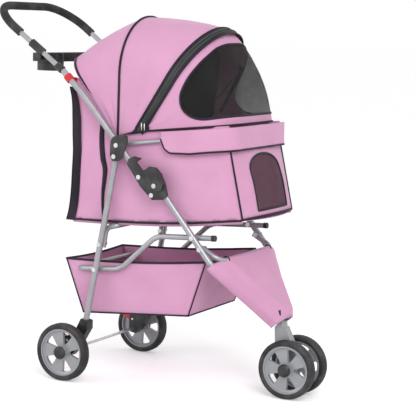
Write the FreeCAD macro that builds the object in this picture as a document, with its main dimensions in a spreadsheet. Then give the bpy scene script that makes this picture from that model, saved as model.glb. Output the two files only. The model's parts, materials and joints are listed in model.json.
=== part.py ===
"""Folding three-wheel pet stroller: tube frame, twin front caster, handle with tray, soft cabin and basket.

Everything is drawn with X forward from the rear axle, Y to the left and Z up from the floor. The last
placement moves it back so that the origin is under the middle of the whole stroller.
"""
import FreeCAD, Part
import math
import os
import Sketcher

Vector = FreeCAD.Vector
SIDES = {"left": 1, "right": -1}

# ---------------------------------------------------------------- driving dimensions
DIMENSIONS = {
    # wheels
    "wheel_diameter": 152, "tyre_width": 28, "tyre_depth": 14, "rim_width": 22, "rim_lip": 4,
    "web_thickness": 9, "hub_radius": 15, "hub_width": 30, "cap_radius": 17, "cap_height": 7,
    "axle_radius": 4, "running_gap": 0.05, "fabric_gap": 0.4,
    "rear_track": 411, "wheelbase": 569, "front_track": 76,
    # tubes
    "frame_tube": 16, "inner_tube": 14, "handle_tube": 13.4, "rim_tube": 11, "tube_wall": 1.2,
    "frame_half": 167, "inner_half": 150, "rim_half": 153.1, "rivet_radius": 3, "rivet_head": 6,
    # pivots of the fold
    "latch_x": 240, "latch_z": 508, "rear_pivot_x": 126, "rear_pivot_z": 598,
    "basket_front_x": 355, "basket_front_z": 408.5, "basket_rear_x": 70, "basket_rear_z": 298,
    # handle
    "handle_bend_x": 25, "handle_bend_z": 745, "handle_joint_x": -43.5, "handle_joint_z": 809.2,
    "handle_length": 281, "handle_slope": 35.7, "handle_half": 177, "handle_corner": 95,
    "grip_start": 161, "grip_diameter": 22, "sleeve_diameter": 21, "sleeve_length": 22,
    # tray
    "tray_start": 62, "tray_end": 132, "tray_depth": 22, "tray_half": 158, "cup_radius": 35,
    "cup_depth": 46, "cup_offset": 108, "tray_wall": 3,
    # front frame
    "leg_top_x": 250, "leg_top_z": 533, "leg_bend_x": 416, "leg_bend_z": 337,
    "head_x": 534, "head_z": 196, "head_radius": 17, "head_height": 30, "stem_radius": 6,
    # soft cabin
    "cabin_half": 147.2, "cloth": 2.5, "cabin_rear_x": -17, "cabin_floor_z": 422,
    "cabin_front_x": 481, "cabin_front_z": 462, "door_top_x": 439, "door_top_z": 640,
    "canopy_half": 150, "canopy_front_x": 438, "canopy_front_z": 692,
    "bow_x": 118, "bow_foot_z": 650, "bow_height": 304, "zip_foot_x": 175, "zip_foot_z": 668,
    "zip_angle": 57.7, "zip_reach": 309, "zip_width": 20,
    # basket
    "basket_half_top": 142, "basket_half_floor": 130, "basket_floor_z": 172,
}

doc = FreeCAD.newDocument("PetStroller")
sheet = doc.addObject("Spreadsheet::Sheet", "Sizes")
for row, (alias, amount) in enumerate(DIMENSIONS.items(), start=1):
    sheet.set(f"A{row}", alias)
    sheet.set(f"B{row}", str(amount))
    sheet.setAlias(f"B{row}", alias)
doc.recompute()


class Size:
    """A length with its present value and the sheet expression that it comes from."""

    def __init__(self, value, text):
        self.value = float(value)
        self.text = text

    def __float__(self):
        return self.value

    def __add__(self, other):
        other = as_size(other)
        return Size(self.value + other.value, f"({self.text} + {other.text})")

    def __sub__(self, other):
        other = as_size(other)
        return Size(self.value - other.value, f"({self.text} - {other.text})")

    def __mul__(self, other):
        other = as_size(other)
        return Size(self.value * other.value, f"({self.text} * {other.text})")

    def __truediv__(self, other):
        other = as_size(other)
        return Size(self.value / other.value, f"({self.text} / {other.text})")

    def __neg__(self):
        return Size(-self.value, f"(-1 * {self.text})")


def as_size(amount):
    """A plain number as a Size; a Size as it is."""
    if isinstance(amount, Size):
        return amount
    return Size(amount, f"({float(amount)})")


def size(alias):
    """The sheet's cell of that name."""
    return Size(sheet.get(alias), f"Sizes.{alias}")


def num(alias):
    """The sheet's cell of that name as a plain number."""
    return float(sheet.get(alias))


SLOPE = math.radians(num("handle_slope"))
HANDLE_REAR = num("handle_joint_x") - math.cos(SLOPE) * num("handle_length") - num("grip_diameter") / 2
MIDDLE_X = (HANDLE_REAR + num("wheelbase") + num("wheel_diameter") / 2) / 2
WHEEL_RADIUS = num("wheel_diameter") / 2
HOME = Vector(-MIDDLE_X, 0, 0)
NODES = {}


# ---------------------------------------------------------------- helpers
def keep(thing, label, place=None):
    """Names a finished sub-part and moves it into the stroller's own frame."""
    thing.Label = label
    place = place or FreeCAD.Placement()
    thing.Placement = FreeCAD.Placement(HOME, FreeCAD.Rotation()).multiply(place)
    NODES[label] = thing
    return thing


def keep_shape(shape, label):
    """A sub-part whose shape comes from Part's own functions."""
    thing = doc.addObject("Part::Feature", label)
    thing.Shape = shape
    return keep(thing, label)


def point(x, y, z):
    return Vector(float(x), float(y), float(z))


def bend(before, corner, after, radius):
    """The tangent arc that rounds a corner of a route."""
    to_start = (before - corner).normalize()
    to_end = (after - corner).normalize()
    half = to_start.getAngle(to_end) / 2
    reach = radius / math.tan(half)
    start = corner + to_start * reach
    end = corner + to_end * reach
    inward = (to_start + to_end).normalize()
    middle = corner + inward * (radius / math.sin(half) - radius)
    return start, middle, end


def route_wire(points, radii):
    """Straight runs joined by tangent arcs."""
    edges = []
    here = points[0]
    for number, radius in enumerate(radii, start=1):
        start, middle, end = bend(points[number - 1], points[number], points[number + 1], radius)
        edges.append(Part.LineSegment(here, start).toShape())
        edges.append(Part.Arc(start, middle, end).toShape())
        here = end
    edges.append(Part.LineSegment(here, points[-1]).toShape())
    return Part.Wire(edges)


def rod(points, radii, radius):
    """A solid round bar along a route."""
    path = route_wire(points, radii)
    heading = (points[1] - points[0]).normalize()
    ring = Part.Wire([Part.Circle(points[0], heading, radius).toShape()])
    return path.makePipeShell([ring], True, True)


def pipe(points, radii, outer, inner):
    """A round tube along a route."""
    return rod(points, radii, outer).cut(rod(points, radii, inner))


def mirrored_route(half_route):
    """A route that runs down one side and back up the other."""
    other = [point(p.x, -p.y, p.z) for p in reversed(half_route)]
    return half_route + other


def cross_pin(x, z, low_y, high_y, radius):
    """A round pin that lies along Y."""
    return Part.makeCylinder(radius, high_y - low_y, point(x, low_y, z), Vector(0, 1, 0))


def side_pin(side, x, z, inner_y, outer_y, radius):
    """The same pin on the left or on the right."""
    low, high = sorted((side * inner_y, side * outer_y))
    return cross_pin(x, z, low, high, radius)


def rivet(side, x, z, inner_y, outer_y, inner_head=True):
    """A rivet from the inner face to the outer face, with a low head outside and, if asked, inside."""
    head = num("rivet_head")
    body = side_pin(side, x, z, inner_y - (1.5 if inner_head else 0), outer_y + 2, num("rivet_radius"))
    body = body.fuse(side_pin(side, x, z, outer_y, outer_y + 2, head))
    if inner_head:
        body = body.fuse(side_pin(side, x, z, inner_y - 1.5, inner_y, head))
    return body.removeSplitter()


def polygon_sketch(body, plane_role, corners, name):
    """A closed outline whose corners are held by constraints bound to the sheet."""
    sketch = body.newObject("Sketcher::SketchObject", name)
    plane = [f for f in body.Origin.OriginFeatures if f.Role == plane_role][0]
    sketch.AttachmentSupport = (plane, [""])
    sketch.MapMode = "FlatFace"
    corners = [(as_size(across), as_size(up)) for across, up in corners]
    spots = [point(across, up, 0) for across, up in corners]
    for number, spot in enumerate(spots):
        following = spots[(number + 1) % len(spots)]
        sketch.addGeometry(Part.LineSegment(spot, following), False)
    for number in range(len(spots)):
        following = (number + 1) % len(spots)
        sketch.addConstraint(Sketcher.Constraint("Coincident", number, 2, following, 1))
    for number, (across, up) in enumerate(corners):
        for kind, length in (("DistanceX", across), ("DistanceY", up)):
            held = sketch.addConstraint(Sketcher.Constraint(kind, -1, 1, number, 1, length.value))
            sketch.setExpression(f"Constraints[{held}]", length.text)
    return sketch


def plate(label, corners, thickness, middle_y, holes=(), round_over=0):
    """A flat piece that stands in the XZ plane, with round holes through it."""
    body = doc.addObject("PartDesign::Body", label)
    outline = polygon_sketch(body, "XZ_Plane", corners, label + "_outline")
    pad = body.newObject("PartDesign::Pad", label + "_pad")
    pad.Profile = outline
    pad.setExpression("Length", as_size(thickness).text)
    pad.Midplane = True
    body.Tip = pad
    doc.recompute()
    if round_over:
        base = body.Tip
        upright = []
        for number, edge in enumerate(base.Shape.Edges, start=1):
            if isinstance(edge.Curve, Part.Line) and abs(edge.tangentAt(edge.FirstParameter).y) > 0.99:
                upright.append(f"Edge{number}")
        soften = body.newObject("PartDesign::Fillet", label + "_corners")
        soften.Base = (base, upright)
        soften.Radius = round_over
        body.Tip = soften
        doc.recompute()
    if holes:
        drill = body.newObject("Sketcher::SketchObject", label + "_holes")
        plane = [f for f in body.Origin.OriginFeatures if f.Role == "XZ_Plane"][0]
        drill.AttachmentSupport = (plane, [""])
        drill.MapMode = "FlatFace"
        for number, (across, up, radius) in enumerate(holes):
            across, up, radius = as_size(across), as_size(up), as_size(radius)
            drill.addGeometry(Part.Circle(point(across, up, 0), Vector(0, 0, 1), radius.value), False)
            for kind, length in (("DistanceX", across), ("DistanceY", up)):
                held = drill.addConstraint(Sketcher.Constraint(kind, -1, 1, number, 3, length.value))
                drill.setExpression(f"Constraints[{held}]", length.text)
            held = drill.addConstraint(Sketcher.Constraint("Radius", number, radius.value))
            drill.setExpression(f"Constraints[{held}]", radius.text)
        cut = body.newObject("PartDesign::Pocket", label + "_cut")
        cut.Profile = drill
        cut.Type = "ThroughAll"
        cut.Midplane = True
        body.Tip = cut
        doc.recompute()
    place = FreeCAD.Placement(point(0, middle_y, 0), FreeCAD.Rotation())
    return keep(body, label, place)


def turned(label, profile, place):
    """A piece turned about its own Z axis, from a profile of radius and height."""
    body = doc.addObject("PartDesign::Body", label)
    outline = polygon_sketch(body, "XZ_Plane", profile, label + "_profile")
    turn = body.newObject("PartDesign::Revolution", label + "_turn")
    turn.Profile = outline
    turn.ReferenceAxis = (outline, ["V_Axis"])
    turn.Angle = 360
    body.Tip = turn
    doc.recompute()
    return keep(body, label, place)


# ---------------------------------------------------------------- wheels
def wheel_place(x, middle_y, side):
    """A wheel's own frame: its Z axis points outward along Y."""
    turn = FreeCAD.Rotation(Vector(0, 0, 1), Vector(0, side, 0))
    return FreeCAD.Placement(point(x, middle_y, WHEEL_RADIUS), turn)


def make_tyre(label, place):
    """A black ring with a rounded shoulder and two tread grooves."""
    outer = size("wheel_diameter") / 2
    inner = outer - size("tyre_depth")
    half = size("tyre_width") / 2
    groove = size("tyre_width") / 7
    profile = [
        (inner, -half + 2), (inner + 4, -half), (outer - 5, -half), (outer - 1, -half + 4),
        (outer, -half + 8), (outer, -groove - 1), (outer - 1.5, -groove), (outer, -groove + 1),
        (outer, groove - 1), (outer - 1.5, groove), (outer, groove + 1),
        (outer, half - 8), (outer - 1, half - 4), (outer - 5, half), (inner + 4, half), (inner, half - 2),
    ]
    turned(label, profile, place)


def make_rim(label, place):
    """A spoked plastic rim: an outer channel, a dished web with five windows, and a hub with its bore."""
    ring = size("wheel_diameter") / 2 - size("tyre_depth")
    half = size("rim_width") / 2
    lip = ring - size("rim_lip")
    hub = size("hub_radius")
    reach = size("hub_width") / 2
    web = size("web_thickness") / 2
    bore = size("axle_radius") + size("running_gap")
    profile = [
        (bore, -reach), (hub, -reach), (hub, -web), (lip, -web), (lip, -half), (ring, -half),
        (ring, half), (lip, half), (lip, web + 2), (lip - 4, web), (hub, web), (hub, reach), (bore, reach),
    ]
    body = turned(label, profile, place)
    near = hub + 6
    far = lip - 5
    window = [(near, -3), (far - 3, -14), (far, -7), (far, 7), (far - 3, 14), (near, 3)]
    outline = polygon_sketch(body, "XY_Plane", window, label + "_window")
    pocket = body.newObject("PartDesign::Pocket", label + "_windows")
    pocket.Profile = outline
    pocket.Type = "ThroughAll"
    pocket.Midplane = True
    body.Tip = pocket
    doc.recompute()
    pattern = body.newObject("PartDesign::PolarPattern", label + "_spokes")
    pattern.Originals = [pocket]
    pattern.Axis = (outline, ["N_Axis"])
    pattern.Angle = 360
    pattern.Occurrences = 5
    body.Tip = pattern
    doc.recompute()


def make_hub_cap(label, place):
    """A domed black cap on the outside of the hub."""
    foot = size("hub_width") / 2 + 0.05
    radius = size("cap_radius")
    tall = size("cap_height")
    profile = [(0, foot), (radius, foot), (radius, foot + 3), (radius - 4, foot + tall - 1),
               (radius - 9, foot + tall), (0, foot + tall)]
    turned(label, profile, place)


def make_wheel(name, x, middle_y, side):
    place = wheel_place(x, middle_y, side)
    make_tyre(f"{name}_tyre", place)
    make_rim(f"{name}_rim", place)
    make_hub_cap(f"{name}_hub_cap", place)


for where, side in SIDES.items():
    make_wheel(f"rear_{where}", 0, side * num("rear_track") / 2, side)
    make_wheel(f"front_{where}", num("wheelbase"), side * num("front_track") / 2, side)

# ---------------------------------------------------------------- tube routes
FRAME = num("frame_tube") / 2
INNER = num("inner_tube") / 2
WALL = num("tube_wall")
FRAME_Y = num("frame_half")
INNER_Y = num("inner_half")
OUTER_FACE = FRAME_Y + FRAME
PIN = num("rivet_radius")
PIN_HOLE = PIN + num("running_gap")
AXLE = num("axle_radius")

LATCH = (num("latch_x"), num("latch_z"))
REAR_PIVOT = (num("rear_pivot_x"), num("rear_pivot_z"))
BASKET_FRONT = (num("basket_front_x"), num("basket_front_z"))
BASKET_REAR = (num("basket_rear_x"), num("basket_rear_z"))
HANDLE_JOINT = (num("handle_joint_x"), num("handle_joint_z"))
HANDLE_BEND = (num("handle_bend_x"), num("handle_bend_z"))
LEG_FOOT = (41, 138)


def along(start, end, share):
    """A point on the way from one side-view point to another."""
    return (start[0] + (end[0] - start[0]) * share, start[1] + (end[1] - start[1]) * share)


def at_x(start, end, x):
    """The height of a straight side-view line at x."""
    return along(start, end, (x - start[0]) / (end[0] - start[0]))


def handle_point(distance, y):
    """A point on the upper handle's plane, at a distance up from the handle joint."""
    x = HANDLE_JOINT[0] - math.cos(SLOPE) * distance
    return point(x, y, HANDLE_JOINT[1] + math.sin(SLOPE) * distance)


LATCH_RIVET = at_x(LATCH, HANDLE_BEND, 201)
CONNECTOR_RIVET = at_x(LATCH, HANDLE_BEND, 132)
LEG_TOP = (num("leg_top_x"), num("leg_top_z"))
LEG_BEND = (num("leg_bend_x"), num("leg_bend_z"))
FRONT_TUBE_RIVET = at_x(LEG_TOP, LEG_BEND, 378)
CROSS_RIVET = at_x(REAR_PIVOT, LEG_FOOT, 83)


def run_past(start, end, extra):
    """The point a little beyond the end of a straight line."""
    length = math.dist(start, end)
    return along(start, end, 1 + extra / length)


# ---------------------------------------------------------------- handle frame
SIDE_FOOT = run_past(HANDLE_BEND, LATCH, 9)
for where, side in SIDES.items():
    y = side * FRAME_Y
    path = [point(SIDE_FOOT[0], y, SIDE_FOOT[1]), point(HANDLE_BEND[0], y, HANDLE_BEND[1]),
            point(HANDLE_JOINT[0], y, HANDLE_JOINT[1])]
    tube = pipe(path, [150], FRAME, FRAME - WALL)
    for x, z in (LATCH, CONNECTOR_RIVET):
        tube = tube.cut(side_pin(side, x, z, FRAME_Y - 20, FRAME_Y + 20, PIN))
    keep_shape(tube, f"side_tube_{where}")

HANDLE = num("handle_tube") / 2
GRIP = num("grip_diameter") / 2
lean = (num("handle_half") - FRAME_Y) / num("handle_length")


def handle_route(start):
    """The U of the upper handle from a distance up one side to the same distance on the other."""
    half = [handle_point(start, FRAME_Y + lean * start), handle_point(num("handle_length"), num("handle_half"))]
    return mirrored_route(half)


corner = num("handle_corner")
keep_shape(pipe(handle_route(1), [corner, corner], HANDLE, HANDLE - WALL), "handle_bar")
keep_shape(pipe(handle_route(num("grip_start")), [corner, corner], GRIP, HANDLE + 0.1), "handle_grip")

sleeves = []
clips = []
for side in SIDES.values():
    start = handle_point(1.5, side * (FRAME_Y + lean * 1.5))
    end = handle_point(num("sleeve_length"), side * (FRAME_Y + lean * num("sleeve_length")))
    sleeves.append(pipe([start, end], [], num("sleeve_diameter") / 2, HANDLE + 0.1))
    low = along(HANDLE_BEND, HANDLE_JOINT, 0.62)
    high = along(HANDLE_BEND, HANDLE_JOINT, 0.8)
    clip = pipe([point(low[0], side * FRAME_Y, low[1]), point(high[0], side * FRAME_Y, high[1])], [],
                FRAME + 3, FRAME + 0.1)
    tab = Part.makeBox(12, 5, 12, point(low[0] - 3, side * (FRAME_Y - 13) - 2.5, low[1] - 4))
    bored = rod([point(low[0] + 20, side * FRAME_Y, low[1] - 18.7), point(high[0] - 20, side * FRAME_Y, high[1] + 18.7)],
                [], FRAME + 0.1)
    clips.append(clip.fuse(tab.cut(bored)))
keep_shape(Part.makeCompound(sleeves), "handle_sleeves")
keep_shape(Part.makeCompound(clips), "canopy_clips")


# ---------------------------------------------------------------- tray
def make_tray():
    """A moulded tray between the handle tubes with two cup holders and a clamp round each tube."""
    wall = num("tray_wall")
    half = num("tray_half")
    near = handle_point(num("tray_start"), 0)
    far = handle_point(num("tray_end"), 0)
    top = near.z + 6
    base = top - num("tray_depth")
    box = Part.makeBox(near.x - far.x, 2 * half, top - base, point(far.x, -half, base))
    box = box.makeFillet(12, [e for e in box.Edges if abs(e.tangentAt(0).z) > 0.99])
    hollow = Part.makeBox(near.x - far.x - 2 * wall, 2 * half - 2 * wall, top - base,
                          point(far.x + wall, -half + wall, base + wall))
    hollow = hollow.makeFillet(9, [e for e in hollow.Edges if abs(e.tangentAt(0).z) > 0.99])
    middle_x = (near.x + far.x) / 2
    radius = num("cup_radius")
    depth = num("cup_depth")
    cups = []
    wells = []
    for side in SIDES.values():
        foot = point(middle_x, side * num("cup_offset"), top - depth)
        cups.append(Part.makeCylinder(radius, depth, foot))
        wells.append(Part.makeCylinder(radius - wall, depth, foot + Vector(0, 0, wall)))
    tray = box.fuse(cups)
    ears = []
    bores = []
    middle = (num("tray_start") + num("tray_end")) / 2
    for side in SIDES.values():
        low = handle_point(middle - 22, side * (FRAME_Y + lean * (middle - 22)))
        high = handle_point(middle + 22, side * (FRAME_Y + lean * (middle + 22)))
        ears.append(rod([low, high], [], HANDLE + 4.5))
        step = (high - low).normalize() * 60
        bores.append(rod([low - step, high + step], [], HANDLE + 0.1))
        arm_y = side * (half - 6)
        low_y, high_y = sorted((arm_y, side * (FRAME_Y + 6)))
        ears.append(Part.makeBox(24, high_y - low_y, 14, point(middle_x - 12, low_y, top - 16)))
    tray = tray.fuse(ears).cut(Part.makeCompound([hollow] + wells + bores)).removeSplitter()
    return tray


keep_shape(make_tray(), "handle_tray")

# ---------------------------------------------------------------- connectors on the handle frame
PLATE_GAP = 0.4
PLATE = 6
for where, side in SIDES.items():
    x, z = size("rear_pivot_x"), size("rear_pivot_z")
    outline = [(x - 12, z + 4), (x - 4, z - 12), (x + 12, z - 12), (x + 22, z - 2), (x + 32, z + 22),
               (x + 38, z + 40), (x + 36, z + 56), (x + 14, z + 56), (x - 3, z + 51), (x - 11, z + 40)]
    holes = [(x, z, size("rivet_radius") + size("running_gap")),
             (CONNECTOR_RIVET[0], CONNECTOR_RIVET[1], size("rivet_radius"))]
    plate(f"side_connector_{where}", outline, PLATE, side * (OUTER_FACE + PLATE_GAP + PLATE / 2), holes, 3)

CONNECTOR_OUTER = OUTER_FACE + PLATE_GAP + PLATE
# inner ends of the pins, flush so that the rim tube can fold past them
FLUSH = FRAME_Y - FRAME + 0.2
pins = []
for side in SIDES.values():
    pins.append(rivet(side, *CONNECTOR_RIVET, FLUSH, CONNECTOR_OUTER, False))
keep_shape(Part.makeCompound(pins), "handle_rivets")

# ---------------------------------------------------------------- rear frame
REAR_TOP = run_past(LEG_FOOT, REAR_PIVOT, 8)
for where, side in SIDES.items():
    y = side * FRAME_Y
    leg = pipe([point(REAR_TOP[0], y, REAR_TOP[1]), point(LEG_FOOT[0], y, LEG_FOOT[1])], [], FRAME, FRAME - WALL)
    for x, z in (REAR_PIVOT, BASKET_REAR, CROSS_RIVET):
        leg = leg.cut(side_pin(side, x, z, FRAME_Y - 20, FRAME_Y + 20, PIN))
    keep_shape(leg, f"rear_leg_{where}")

cross_half = [point(82, INNER_Y, 356), point(90, INNER_Y, 408), point(122, INNER_Y, 416)]
cross = pipe(mirrored_route(cross_half), [22, 14, 14, 22], INNER, INNER - WALL)
for side in SIDES.values():
    cross = cross.cut(side_pin(side, *CROSS_RIVET, INNER_Y - 20, INNER_Y + 20, PIN))
keep_shape(cross, "rear_cross_tube")

axle = doc.addObject("Part::Cylinder", "rear_axle")
axle.setExpression("Radius", "Sizes.axle_radius")
axle.setExpression("Height", "Sizes.rear_track + Sizes.hub_width - 2")
doc.recompute()
axle_half = (num("rear_track") + num("hub_width")) / 2 - 1
keep(axle, "rear_axle", FreeCAD.Placement(point(0, -axle_half, WHEEL_RADIUS),
                                          FreeCAD.Rotation(Vector(0, 0, 1), Vector(0, 1, 0))))

HOUSING = 26
BRAKE_PIVOT = (-4, WHEEL_RADIUS + 26)
for where, side in SIDES.items():
    middle = side * FRAME_Y
    body = doc.addObject("PartDesign::Body", f"housing_block_{where}")
    high = size("wheel_diameter") / 2
    outline = [(-14, high - 10), (8, high - 14), (26, high + 8), (58, high + 62), (58, high + 84),
               (36, high + 88), (22, high + 60), (4, high + 40), (-14, high + 36)]
    sketch = polygon_sketch(body, "XZ_Plane", outline, f"housing_outline_{where}")
    pad = body.newObject("PartDesign::Pad", f"housing_pad_{where}")
    pad.Profile = sketch
    pad.Length = HOUSING
    pad.Midplane = True
    body.Tip = pad
    doc.recompute()
    block = body.Shape.copy()
    block.translate(point(0, middle, 0))
    socket_end = run_past(REAR_PIVOT, LEG_FOOT, 0.2)
    socket = rod([point(REAR_TOP[0], middle, REAR_TOP[1]), point(socket_end[0], middle, socket_end[1])], [],
                 FRAME + 0.1)
    bore = cross_pin(0, WHEEL_RADIUS, middle - 40, middle + 40, AXLE + 0.02)
    slot = Part.makeBox(40, 12.8, 40, point(BRAKE_PIVOT[0] - 30, middle - 6.4, BRAKE_PIVOT[1] - 14))
    pin_bore = cross_pin(*BRAKE_PIVOT, middle - HOUSING / 2, middle + HOUSING / 2, PIN)
    boss = side_pin(side, 0, WHEEL_RADIUS, FRAME_Y + HOUSING / 2, num("rear_track") / 2 - num("hub_width") / 2 - 0.5, 11)
    shape = block.fuse(boss).cut(Part.makeCompound([socket, bore, slot, pin_bore])).removeSplitter()
    keep_shape(shape, f"rear_wheel_housing_{where}")
    doc.removeObject(pad.Name)
    doc.removeObject(sketch.Name)
    doc.removeObject(body.Name)

    pedal = [(BRAKE_PIVOT[0] + 6, BRAKE_PIVOT[1] - 4), (BRAKE_PIVOT[0] + 5, BRAKE_PIVOT[1] + 5),
             (BRAKE_PIVOT[0] - 4, BRAKE_PIVOT[1] + 6), (BRAKE_PIVOT[0] - 48, BRAKE_PIVOT[1] + 22),
             (BRAKE_PIVOT[0] - 52, BRAKE_PIVOT[1] + 16), (BRAKE_PIVOT[0] - 12, BRAKE_PIVOT[1] - 5)]
    plate(f"brake_pedal_{where}", pedal, 12, middle,
          [(BRAKE_PIVOT[0], BRAKE_PIVOT[1], size("rivet_radius") + size("running_gap"))])

pins = []
for side in SIDES.values():
    pins.append(side_pin(side, *REAR_PIVOT, num("rim_half") - num("rim_tube") / 2 + 0.5, CONNECTOR_OUTER + 2, PIN)
                .fuse(side_pin(side, *REAR_PIVOT, CONNECTOR_OUTER + 0.3, CONNECTOR_OUTER + 2.3, num("rivet_head"))))
    pins.append(rivet(side, *CROSS_RIVET, INNER_Y - INNER, OUTER_FACE))
    pins.append(rivet(side, *BASKET_REAR, FRAME_Y - FRAME, OUTER_FACE, inner_head=False))
    pins.append(cross_pin(*BRAKE_PIVOT, side * FRAME_Y - HOUSING / 2, side * FRAME_Y + HOUSING / 2, PIN))
keep_shape(Part.makeCompound(pins), "rear_pins")

# ---------------------------------------------------------------- front frame
HEAD_X = num("head_x")
HEAD_Z = num("head_z")
LEG_END = point(HEAD_X - 8, 24, HEAD_Z + 20)
LEG_START = run_past(LEG_BEND, LEG_TOP, 9)
leg_rods = []
for where, side in SIDES.items():
    path = [point(LEG_START[0], side * FRAME_Y, LEG_START[1]), point(LEG_BEND[0], side * FRAME_Y, LEG_BEND[1]),
            point(LEG_END.x, side * LEG_END.y, LEG_END.z)]
    leg = pipe(path, [70], FRAME, FRAME - WALL)
    leg_rods.append(rod(path, [70], FRAME + 0.1))
    for x, z in (LEG_TOP, BASKET_FRONT, FRONT_TUBE_RIVET):
        leg = leg.cut(side_pin(side, x, z, FRAME_Y - 20, FRAME_Y + 20, PIN))
    keep_shape(leg, f"front_leg_{where}")


def make_head():
    """The moulded head that takes both legs and carries the caster's stem."""
    radius = num("head_radius")
    tall = num("head_height")
    barrel = Part.makeCylinder(radius, tall, point(HEAD_X, 0, HEAD_Z))
    cheek = Part.makeBox(40, 72, tall - 4, point(HEAD_X - 30, -36, HEAD_Z + 4))
    cheek = cheek.makeFillet(8, [e for e in cheek.Edges if abs(e.tangentAt(0).z) > 0.99])
    stem = Part.makeCylinder(num("stem_radius") + num("running_gap"), tall - 6, point(HEAD_X, 0, HEAD_Z))
    return barrel.fuse(cheek).cut(Part.makeCompound([stem] + leg_rods)).removeSplitter()


keep_shape(make_head(), "fork_head")

front_half = [point(370, INNER_Y, FRONT_TUBE_RIVET[1] + 2), point(428, INNER_Y, 354)]
front_tube_route = mirrored_route(front_half)
front_tube = pipe(front_tube_route, [28, 28], INNER, INNER - WALL)
for side in SIDES.values():
    front_tube = front_tube.cut(side_pin(side, *FRONT_TUBE_RIVET, INNER_Y - 20, INNER_Y + 20, PIN))
keep_shape(front_tube, "basket_front_tube")

for where, side in SIDES.items():
    x, z = size("latch_x"), size("latch_z")
    outline = [(x - 75, z + 74), (x - 70, z + 88), (x - 54, z + 95), (x - 32, z + 91), (x - 48, z + 80),
               (x - 28, z + 60), (x - 6, z + 72), (x + 24, z + 58), (x + 38, z + 32), (x + 46, z + 3),
               (x + 32, z - 9), (x + 2, z - 12), (x - 32, z + 18)]
    holes = [(x, z, size("rivet_radius") + size("running_gap")),
             (size("leg_top_x"), size("leg_top_z"), size("rivet_radius")),
             (LATCH_RIVET[0], LATCH_RIVET[1], size("rivet_radius"))]
    plate(f"latch_housing_{where}", outline, PLATE, side * (OUTER_FACE + PLATE_GAP + PLATE / 2), holes, 2)
    lever_y = side * (CONNECTOR_OUTER + PLATE_GAP + 3)
    lever = [(x - 20, z + 60), (x - 6, z + 73), (x + 14, z + 72), (x + 30, z + 56), (x + 38, z + 34),
             (x + 30, z + 14), (x + 12, z + 13), (x - 6, z + 24)]
    plate(f"latch_lever_{where}", lever, 6, lever_y,
          [(size("leg_top_x"), size("leg_top_z"), size("rivet_radius") + size("running_gap"))], 2)

pins = []
for side in SIDES.values():
    lever_outer = CONNECTOR_OUTER + PLATE_GAP + 6
    pins.append(rivet(side, *LEG_TOP, FLUSH, lever_outer + 0.3, False))
    pins.append(rivet(side, *LATCH_RIVET, OUTER_FACE + PLATE_GAP, CONNECTOR_OUTER, False))
    pins.append(rivet(side, *BASKET_FRONT, INNER_Y - INNER, OUTER_FACE))
    pins.append(rivet(side, *FRONT_TUBE_RIVET, INNER_Y - INNER, OUTER_FACE))
keep_shape(Part.makeCompound(pins), "front_rivets")

pins = []
for side in SIDES.values():
    pins.append(rivet(side, *LATCH, FLUSH, CONNECTOR_OUTER + 0.2, False))
keep_shape(Part.makeCompound(pins), "latch_pins")

# ---------------------------------------------------------------- caster
def make_caster():
    """The swivel stem with the arm that carries the front axle between the two wheels."""
    stem = Part.makeCylinder(num("stem_radius"), 46, point(HEAD_X, 0, HEAD_Z - 22))
    collar = Part.makeCone(15, 12, 18, point(HEAD_X, 0, HEAD_Z - 18.5))
    wheel_x = num("wheelbase")
    corners = [(HEAD_X - 15, HEAD_Z - 18.5), (HEAD_X + 15, HEAD_Z - 18.5), (wheel_x + 10, WHEEL_RADIUS + 40),
               (wheel_x + 14, WHEEL_RADIUS), (wheel_x + 8, WHEEL_RADIUS - 13), (wheel_x - 8, WHEEL_RADIUS - 13),
               (HEAD_X - 13, HEAD_Z - 60)]
    face = Part.Face(Part.makePolygon([point(x, -13, z) for x, z in corners + corners[:1]]))
    arm = face.extrude(Vector(0, 26, 0))
    reach = (num("front_track") - num("hub_width")) / 2 - 0.4
    boss = cross_pin(wheel_x, WHEEL_RADIUS, -reach, reach, 10)
    bore = cross_pin(wheel_x, WHEEL_RADIUS, -40, 40, AXLE + 0.02)
    return arm.fuse([stem, collar, boss]).cut(bore).removeSplitter()


keep_shape(make_caster(), "caster_fork")
axle = doc.addObject("Part::Cylinder", "front_axle")
axle.setExpression("Radius", "Sizes.axle_radius")
axle.setExpression("Height", "Sizes.front_track + Sizes.hub_width - 2")
doc.recompute()
axle_half = (num("front_track") + num("hub_width")) / 2 - 1
keep(axle, "front_axle", FreeCAD.Placement(point(num("wheelbase"), -axle_half, WHEEL_RADIUS),
                                           FreeCAD.Rotation(Vector(0, 0, 1), Vector(0, 1, 0))))

# ---------------------------------------------------------------- basket frame and basket
basket_half = [point(401, INNER_Y, 410), point(240, INNER_Y, 400), point(135, INNER_Y, 303),
               point(3, INNER_Y, 292)]
basket_route = mirrored_route(basket_half)
basket_bends = [60, 60, 26, 26, 60, 60]
basket_tube = pipe(basket_route, basket_bends, INNER, INNER - WALL)
for side in SIDES.values():
    for x, z in (BASKET_FRONT, BASKET_REAR):
        basket_tube = basket_tube.cut(side_pin(side, x, z, INNER_Y - 20, INNER_Y + 20, PIN_HOLE))
keep_shape(basket_tube, "basket_rear_tube")
caps = []
for side in SIDES.values():
    end = basket_half[0]
    heading = (basket_half[0] - basket_half[1]).normalize()
    foot = point(end.x, side * end.y, end.z)
    caps.append(Part.makeCylinder(INNER + 0.8, 10, foot, heading))
keep_shape(Part.makeCompound(caps), "basket_tube_caps")


def ring_face(corners):
    return Part.Wire(Part.makePolygon(corners + corners[:1]))


def level_ring(rear, front, half):
    """A four-cornered ring that may rise from the rear to the front."""
    return ring_face([point(rear[0], -half, rear[1]), point(front[0], -half, front[1]),
                      point(front[0], half, front[1]), point(rear[0], half, rear[1])])


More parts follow.
